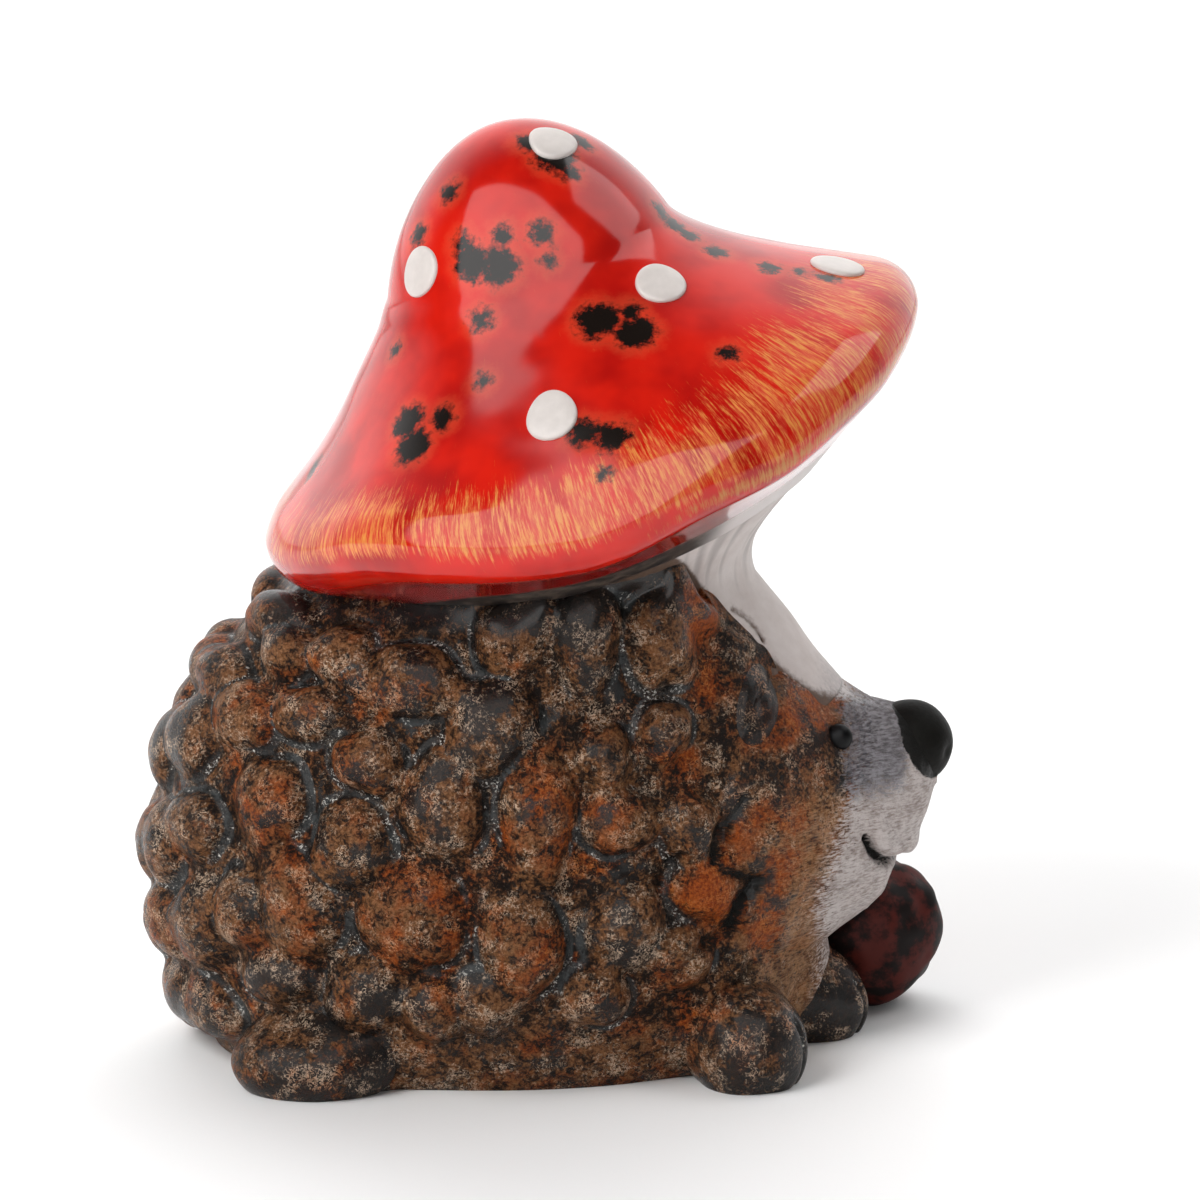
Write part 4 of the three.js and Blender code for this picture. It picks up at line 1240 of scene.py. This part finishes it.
# %% Cap: the rim
# a run of thick ochre along the front, and dark red where the glaze gathered in drips
ochre = add(tree, "Math", MULTIPLY_ADD, {0: mark["rim_line"], 1: 0.42, 2: strand})
ochre = add(tree, "MapRange", SOFT, {"Value": ochre, "From Min": 0.66, "From Max": 1.0})
ochred = add(tree, "Mix", BLEND, {"Factor": ochre, "A": brushed, "B": colour("#bf7b3b")})
gathered = add(tree, "MapRange", SOFT, {
    "Value": mark["edge"], "From Min": 3.5, "From Max": -2.0, "To Max": 1.5})
gathered = add(tree, "Math", {"operation": "MULTIPLY", "use_clamp": True}, {0: gathered, 1: cloud})
dripped = add(tree, "Mix", BLEND, {"Factor": gathered, "A": ochred, "B": colour("#6d0402")})
spotted = add(tree, "Mix", BLEND, {"Factor": black, "A": dripped, "B": colour("#120a06")})
print("the cap has", len(tree.nodes), "nodes so far")

# %% Cap: the underside and the gloss
# white slip at the front; further back the underside is dark brown, partly painted shade under the rim and
# partly wet brown glaze where the cap meets the coat
WORN_PATCH = 3

under = add(tree, "MapRange", SOFT, {"Value": mark["under"], "From Min": 1.0, "From Max": -1.0})
open_side = add(tree, "MapRange", SOFT, {"Value": mark["ahead"], "From Min": 0.3, "From Max": 0.5})
wear_and_shade = add(tree, "TexNoise", links={"Vector": place, "Scale": 1 / WORN_PATCH, "Detail": 6, "Roughness": 0.7})
wear_and_shade = add(tree, "MapRange", SOFT, {"Value": wear_and_shade, "From Min": 0.45, "From Max": 0.62})
wet_ledge = add(tree, "Mix", BLEND, {"Factor": wear_and_shade, "A": colour("#1c1410"), "B": colour("#54483f")})
lining = add(tree, "Mix", BLEND, {"Factor": open_side, "A": wet_ledge, "B": colour("#c9c0bd")})
lined = add(tree, "Mix", BLEND, {"Factor": under, "A": spotted, "B": lining})
gloss = add(tree, "MapRange", links={"Value": under, "To Min": 0.11, "To Max": 0.45})
wear([cap], cap_glaze, {"Base Color": lined, "Roughness": gloss, "IOR": 1.5})

# %% [markdown]
# ### Dry-brushed oxide
# The coat was washed with iron and manganese oxide, wiped with a sponge so that the wash stayed in the
# hollows, and fired under a thin satin glaze. The eye gets a dark brown that breaks into rust, slate
# smudges on the tops, pale scuffs where a dry brush passed, and wet glints along the grooves. Part of
# the dark is painted shade: in the low places of the relief, on the paws and on the ledge under the cap.
# Part of the white flecks in the grooves are painted glints. Real oxide grains are finer than 0.1 mm.
# They would not show at this size, so they are drawn 0.5 to 0.8 mm wide.

# %% Oxide: patterns
GRIT = 0.8
SPECK = 0.5
SMEAR = 2.6
PATCH = 7
BLOT = 4
FIBRE = (0.35, 0.4, 1.6)

oxide, tree, place, mark = finish(
    "earthenware_dry_brushed_oxide",
    "line", "rise", "tint", "slip", "smoke", "tan", "rust", "soot", "ledge", "ink",
)
aside = add(tree, "VectorMath", {"operation": "ADD"}, {0: place, 1: (90, 40, 70)})
drawn = add(tree, "VectorMath", MULTIPLY, {0: place, 1: FIBRE})
pattern = {}
for name, at, size, detail, rough, twist in (
    ("grit", place, GRIT, 5, 0.7, 0.8), ("speck", aside, SPECK, 4, 0.7, 0.5),
    ("worm", aside, GRIT, 2, 0.5, 1.5), ("smear", aside, SMEAR, 5, 0.62, 0.7),
    ("patch", place, PATCH, 4, 0.6, 0.3), ("rusty", aside, PATCH, 4, 0.65, 0.3),
    ("blot", aside, BLOT, 3, 0.6, 0), ("fibre", drawn, SPECK, 4, 0.65, 0),
):
    pattern[name] = add(tree, "TexNoise", links={
        "Vector": at, "Scale": 1 / size, "Detail": detail, "Roughness": rough, "Distortion": twist})
print(len(pattern), "patterns for the oxide")

# %% Oxide: brown and rust
# the dark wash, wiped off to the clay's brown in smears; low places of the relief stay darker, as painted
# shade in the valleys
wear_and_shade = pattern["grit"]
for part, share in ((pattern["smear"], 0.8), (mark["rise"], 0.14), (mark["rust"], 0.16)):
    wear_and_shade = add(tree, "Math", MULTIPLY_ADD, {0: part, 1: share, 2: wear_and_shade})
tone = add(tree, "MapRange", SOFT, {"Value": wear_and_shade, "From Min": 0.84, "From Max": 1.10})
# rust-red oxide, thickest on some bobbles
rust = pattern["rusty"]
for part, share in ((mark["tint"], 0.10), (mark["rust"], 0.25)):
    rust = add(tree, "Math", MULTIPLY_ADD, {0: part, 1: share, 2: rust})
rust = add(tree, "MapRange", SOFT, {"Value": rust, "From Min": 0.46, "From Max": 0.72})
rubbed = add(tree, "MapRange", SOFT, {"Value": pattern["speck"], "From Min": 0.34, "From Max": 0.66})
bare_clay = add(tree, "Mix", BLEND, {"Factor": rubbed, "A": colour("#5a371c"), "B": colour("#8d6241")})
red_clay = add(tree, "Mix", BLEND, {"Factor": rubbed, "A": colour("#6a2a0a"), "B": colour("#a04f1c")})
clay = add(tree, "Mix", BLEND, {"Factor": rust, "A": bare_clay, "B": red_clay})
brown = add(tree, "Mix", BLEND, {"Factor": tone, "A": colour("#130b07"), "B": clay})
print("brown from", len(tree.nodes), "nodes")

# %% Oxide: slate smudges
# slate-black glaze, smudged on the tops of some bobbles and along the wet ledge under the cap; the same black
# is also painted shade on the paws, most on the far fore paw under the chin, and on that ledge under the rim
soot = pattern["patch"]
for part, share in (
    (mark["tint"], -0.13), (mark["soot"], 0.35), (mark["ledge"], 0.16), (mark["rise"], 0.12),
    (pattern["smear"], 0.35), (pattern["grit"], -0.35),
):
    soot = add(tree, "Math", MULTIPLY_ADD, {0: part, 1: share, 2: soot})
soot = add(tree, "MapRange", SOFT, {"Value": soot, "From Min": 0.56, "From Max": 0.71, "To Max": 0.92})
sooted = add(tree, "Mix", BLEND, {"Factor": soot, "A": brown, "B": colour("#0c0b0b")})
print("with slate:", len(tree.nodes), "nodes")

# %% Oxide: dry brush
# thin worms of pale clay where the brush had little left in it, in blots
worm = add(tree, "Math", {"operation": "SUBTRACT"}, {0: pattern["worm"], 1: 0.5})
worm = add(tree, "Math", {"operation": "ABSOLUTE"}, {0: worm})
worm = add(tree, "MapRange", SOFT, {"Value": worm, "From Min": 0.07, "From Max": 0.01})
bare = pattern["blot"]
for part, share in ((pattern["speck"], 0.5), (mark["ledge"], -0.12)):
    bare = add(tree, "Math", MULTIPLY_ADD, {0: part, 1: share, 2: bare})
bare = add(tree, "MapRange", SOFT, {"Value": bare, "From Min": 0.73, "From Max": 0.92})
dry = add(tree, "Math", MULTIPLY, {0: worm, 1: bare})
pale = add(tree, "Mix", BLEND, {"Factor": rust, "A": colour("#c0a68e"), "B": colour("#b06a35")})
dried = add(tree, "Mix", BLEND, {"Factor": dry, "A": sooted, "B": pale})
print("with dry brush:", len(tree.nodes), "nodes")

# %% Oxide: grooves
# a dark groove, a thread of grey glaze that pooled in it, and white flecks: lime that crystallised there, and
# painted glints of the wet glaze
groove = add(tree, "MapRange", SOFT, {
    "Value": mark["line"], "From Min": 0.15, "From Max": 0.6, "To Max": 0.85})
grooved = add(tree, "Mix", BLEND, {"Factor": groove, "A": dried, "B": colour("#141312")})
kept = add(tree, "Math", MULTIPLY_ADD, {0: pattern["grit"], 1: 0.6, 2: pattern["patch"]})
kept = add(tree, "MapRange", SOFT, {"Value": kept, "From Min": 0.74, "From Max": 0.9, "To Max": 0.7})
thread = add(tree, "Math", MULTIPLY, {0: groove, 1: kept})
threaded = add(tree, "Mix", BLEND, {"Factor": thread, "A": grooved, "B": colour("#3f4344")})
lime_and_glint = add(tree, "MapRange", SOFT, {"Value": pattern["speck"], "From Min": 0.54, "From Max": 0.62})
lime_and_glint = add(tree, "Math", MULTIPLY, {0: lime_and_glint, 1: groove})
gathered = add(tree, "MapRange", SOFT, {"Value": pattern["smear"], "From Min": 0.48, "From Max": 0.58})
lime_and_glint = add(tree, "Math", MULTIPLY, {0: lime_and_glint, 1: gathered})
limed_and_glinting = add(tree, "Mix", BLEND, {"Factor": lime_and_glint, "A": threaded, "B": colour("#dedad2")})
print("with grooves:", len(tree.nodes), "nodes")

# %% Oxide: the face
# each coat of slip is broken up by the brush's hairs where it runs out
FACE_COATS = (
    # mark, how much it covers, and its colour where thin and where thick
    ("tan", 0.6, "#7a4826", "#b3875f"),
    ("slip", 0.97, "#a0948f", "#cdc4c1"),
    ("smoke", 0.8, "#46464d", "#85848b"),
)

hairs = add(tree, "Math", MULTIPLY_ADD, {0: pattern["fibre"], 1: 3, 2: -1.5})
hairs = add(tree, "Math", MULTIPLY_ADD, {0: pattern["grit"], 1: 1.5, 2: hairs})
hairs = add(tree, "Math", {"operation": "SUBTRACT"}, {0: hairs, 1: 0.75})
streak = add(tree, "Math", MULTIPLY_ADD, {0: pattern["smear"], 1: 0.7, 2: pattern["fibre"]})
streak = add(tree, "MapRange", SOFT, {"Value": streak, "From Min": 0.66, "From Max": 1.02})
face = limed_and_glinting
for name, most, thin, thick in FACE_COATS:
    coat_of = add(tree, "Mix", BLEND, {"Factor": streak, "A": colour(thin), "B": colour(thick)})
    cover = add(tree, "Math", MULTIPLY_ADD, {0: mark[name], 1: 1.25, 2: hairs})
    cover = add(tree, "MapRange", SOFT, {"Value": cover, "From Min": 0.15, "From Max": 0.95})
    level = add(tree, "MapRange", links={"Value": mark[name], "From Max": 0.3, "To Max": most})
    cover = add(tree, "Math", MULTIPLY, {0: cover, 1: level})
    face = add(tree, "Mix", BLEND, {"Factor": cover, "A": face, "B": coat_of})
inked = add(tree, "Math", MULTIPLY_ADD, {0: hairs, 1: 0.5, 2: mark["ink"]})
inked = add(tree, "MapRange", SOFT, {"Value": inked, "From Min": 0.3, "From Max": 0.75})
painted = add(tree, "Mix", BLEND, {"Factor": inked, "A": face, "B": colour("#131210")})
print("with the face:", len(tree.nodes), "nodes")

# %% Oxide: surface
# satin clay, duller on the slip of the face; a coat of clear glaze lies over the slate and the grooves,
# thickest on the wet ledge
glazed = add(tree, "Math", {"operation": "MAXIMUM"}, {0: soot, 1: groove})
glazed = add(tree, "Math", {"operation": "MAXIMUM"}, {0: glazed, 1: mark["ledge"]})
satin = add(tree, "MapRange", links={"Value": glazed, "To Min": 0.36, "To Max": 0.22})
dull = add(tree, "Math", {"operation": "MAXIMUM"}, {0: mark["slip"], 1: mark["tan"]})
matte = add(tree, "Math", MULTIPLY_ADD, {0: dull, 1: 0.2, 2: satin})
clear = add(tree, "Math", MULTIPLY, {0: glazed, 1: 0.32})
clear = add(tree, "Math", MULTIPLY_ADD, {0: mark["ledge"], 1: 0.35, 2: clear})
rough_face = add(tree, "Math", MULTIPLY_ADD, {0: pattern["speck"], 1: 0.4, 2: pattern["grit"]})
bump = add(tree, "Bump", links={"Height": rough_face, "Strength": 0.9, "Distance": 0.5 * MM})
wear([coat, head, *ears, *paws], oxide, {
    "Base Color": painted, "Roughness": matte, "Specular IOR Level": 0.1,
    "Coat Weight": clear, "Coat Roughness": 0.22, "Normal": bump,
})

# %% [markdown]
# ### White slip
# The stem was brushed with white slip, a thin liquid clay, and left without a glaze. The eye gets a dull,
# slightly blotched white, grey in the gills, and brown where oxide was rubbed over from the coat. Near
# the forehead the brush ran dry.

# %% Stem: white and gills
BLOTCH = 5
SLIP_GRAIN = 5 / 6

slip, tree, place, mark = finish("white_slip_brushed_matte", "stain", "gill", "fade")
mottle = add(tree, "TexNoise", links={"Vector": place, "Scale": 1 / BLOTCH, "Detail": 5, "Roughness": 0.6})
grit = add(tree, "TexNoise", links={"Vector": place, "Scale": 1 / SLIP_GRAIN, "Detail": 5, "Roughness": 0.7})
white = add(tree, "Mix", BLEND, {"Factor": mottle, "A": colour("#b8aba6"), "B": colour("#dbd4d1")})
shaded = add(tree, "Math", MULTIPLY, {0: mark["gill"], 1: 0.5})
gilled = add(tree, "Mix", BLEND, {"Factor": shaded, "A": white, "B": colour("#8b8583")})
print("slip is blotched every", BLOTCH, "mm")

# %% Stem: dry end and oxide
dry = add(tree, "Math", MULTIPLY, {0: mark["fade"], 1: grit})
dry = add(tree, "MapRange", SOFT, {"Value": dry, "From Min": 0.15, "From Max": 0.6, "To Max": 0.7})
faded = add(tree, "Mix", BLEND, {"Factor": dry, "A": gilled, "B": colour("#a09a9a")})
rubbed = add(tree, "Math", {"operation": "ADD"}, {0: mark["stain"], 1: grit})
rubbed = add(tree, "MapRange", SOFT, {"Value": rubbed, "From Min": 0.55, "From Max": 1.35})
oxides = add(tree, "Mix", BLEND, {"Factor": grit, "A": colour("#1c1411"), "B": colour("#6f523f")})
stained = add(tree, "Mix", BLEND, {"Factor": rubbed, "A": faded, "B": oxides})
bump = add(tree, "Bump", links={"Height": mottle, "Strength": 0.4, "Distance": 0.6 * MM})
wear([stem], slip, {"Base Color": stained, "Roughness": 0.6, "Normal": bump})

# %% [markdown]
# ### Two blacks
# The nose is painted with black underglaze: satin, with a faint grain, so its highlight is broad and dim.
# The eyes are black glaze, smoother and a little shinier. Both are nearly black, so most of what the eye
# sees is how they shine.

# %% Satin black of the nose
NOSE_GRAIN = 5 / 6

black_satin, tree, place, _ = finish("black_underglaze_satin")
grain = add(tree, "TexNoise", links={"Vector": place, "Scale": 1 / NOSE_GRAIN, "Detail": 4})
tone = add(tree, "Mix", BLEND, {"Factor": grain, "A": colour("#0f0e0d"), "B": colour("#191815")})
bump = add(tree, "Bump", links={"Height": grain, "Strength": 0.3, "Distance": 0.3 * MM})
wear([nose], black_satin, {
    "Base Color": tone, "Roughness": 0.5, "Specular IOR Level": 0.07, "Normal": bump})

# %% Glossy black of the eyes
EYE_GRAIN = 1.25

black_gloss, tree, place, _ = finish("black_glaze_fired_glossy")
grain = add(tree, "TexNoise", links={"Vector": place, "Scale": 1 / EYE_GRAIN})
tone = add(tree, "Mix", BLEND, {"Factor": grain, "A": colour("#050505"), "B": colour("#121214")})
wear(eyes, black_gloss, {"Base Color": tone, "Roughness": 0.35, "Specular IOR Level": 0.14})

# %% [markdown]
# ### Maroon and white enamel
# The apple was glazed maroon and rubbed down while soft, so black clay shows through in patches. The
# dots are drops of white enamel, set on the fired glaze and fired once more: opaque, smooth, with a soft
# shine and the faintest mottle.

# %% Maroon of the apple
RUBBED_PATCH = 5

maroon, tree, place, _ = finish("maroon_glaze_rubbed_satin")
mottle = add(tree, "TexNoise", links={
    "Vector": place, "Scale": 1 / RUBBED_PATCH, "Detail": 5, "Roughness": 0.65})
patches = add(tree, "MapRange", SOFT, {"Value": mottle, "From Min": 0.42, "From Max": 0.6})
tone = add(tree, "Mix", BLEND, {"Factor": patches, "A": colour("#0f0605"), "B": colour("#4c1a14")})
wear([apple], maroon, {"Base Color": tone, "Roughness": 0.55, "Specular IOR Level": 0.12})

# %% Enamel of the dots
ENAMEL_MOTTLE = 5 / 3

enamel, tree, place, _ = finish("white_enamel_dotted_on")
mottle = add(tree, "TexNoise", links={"Vector": place, "Scale": 1 / ENAMEL_MOTTLE, "Detail": 4})
tone = add(tree, "Mix", BLEND, {"Factor": mottle, "A": colour("#c2bab5"), "B": colour("#d8d0cb")})
wear(dots, enamel, {"Base Color": tone, "Roughness": 0.3})
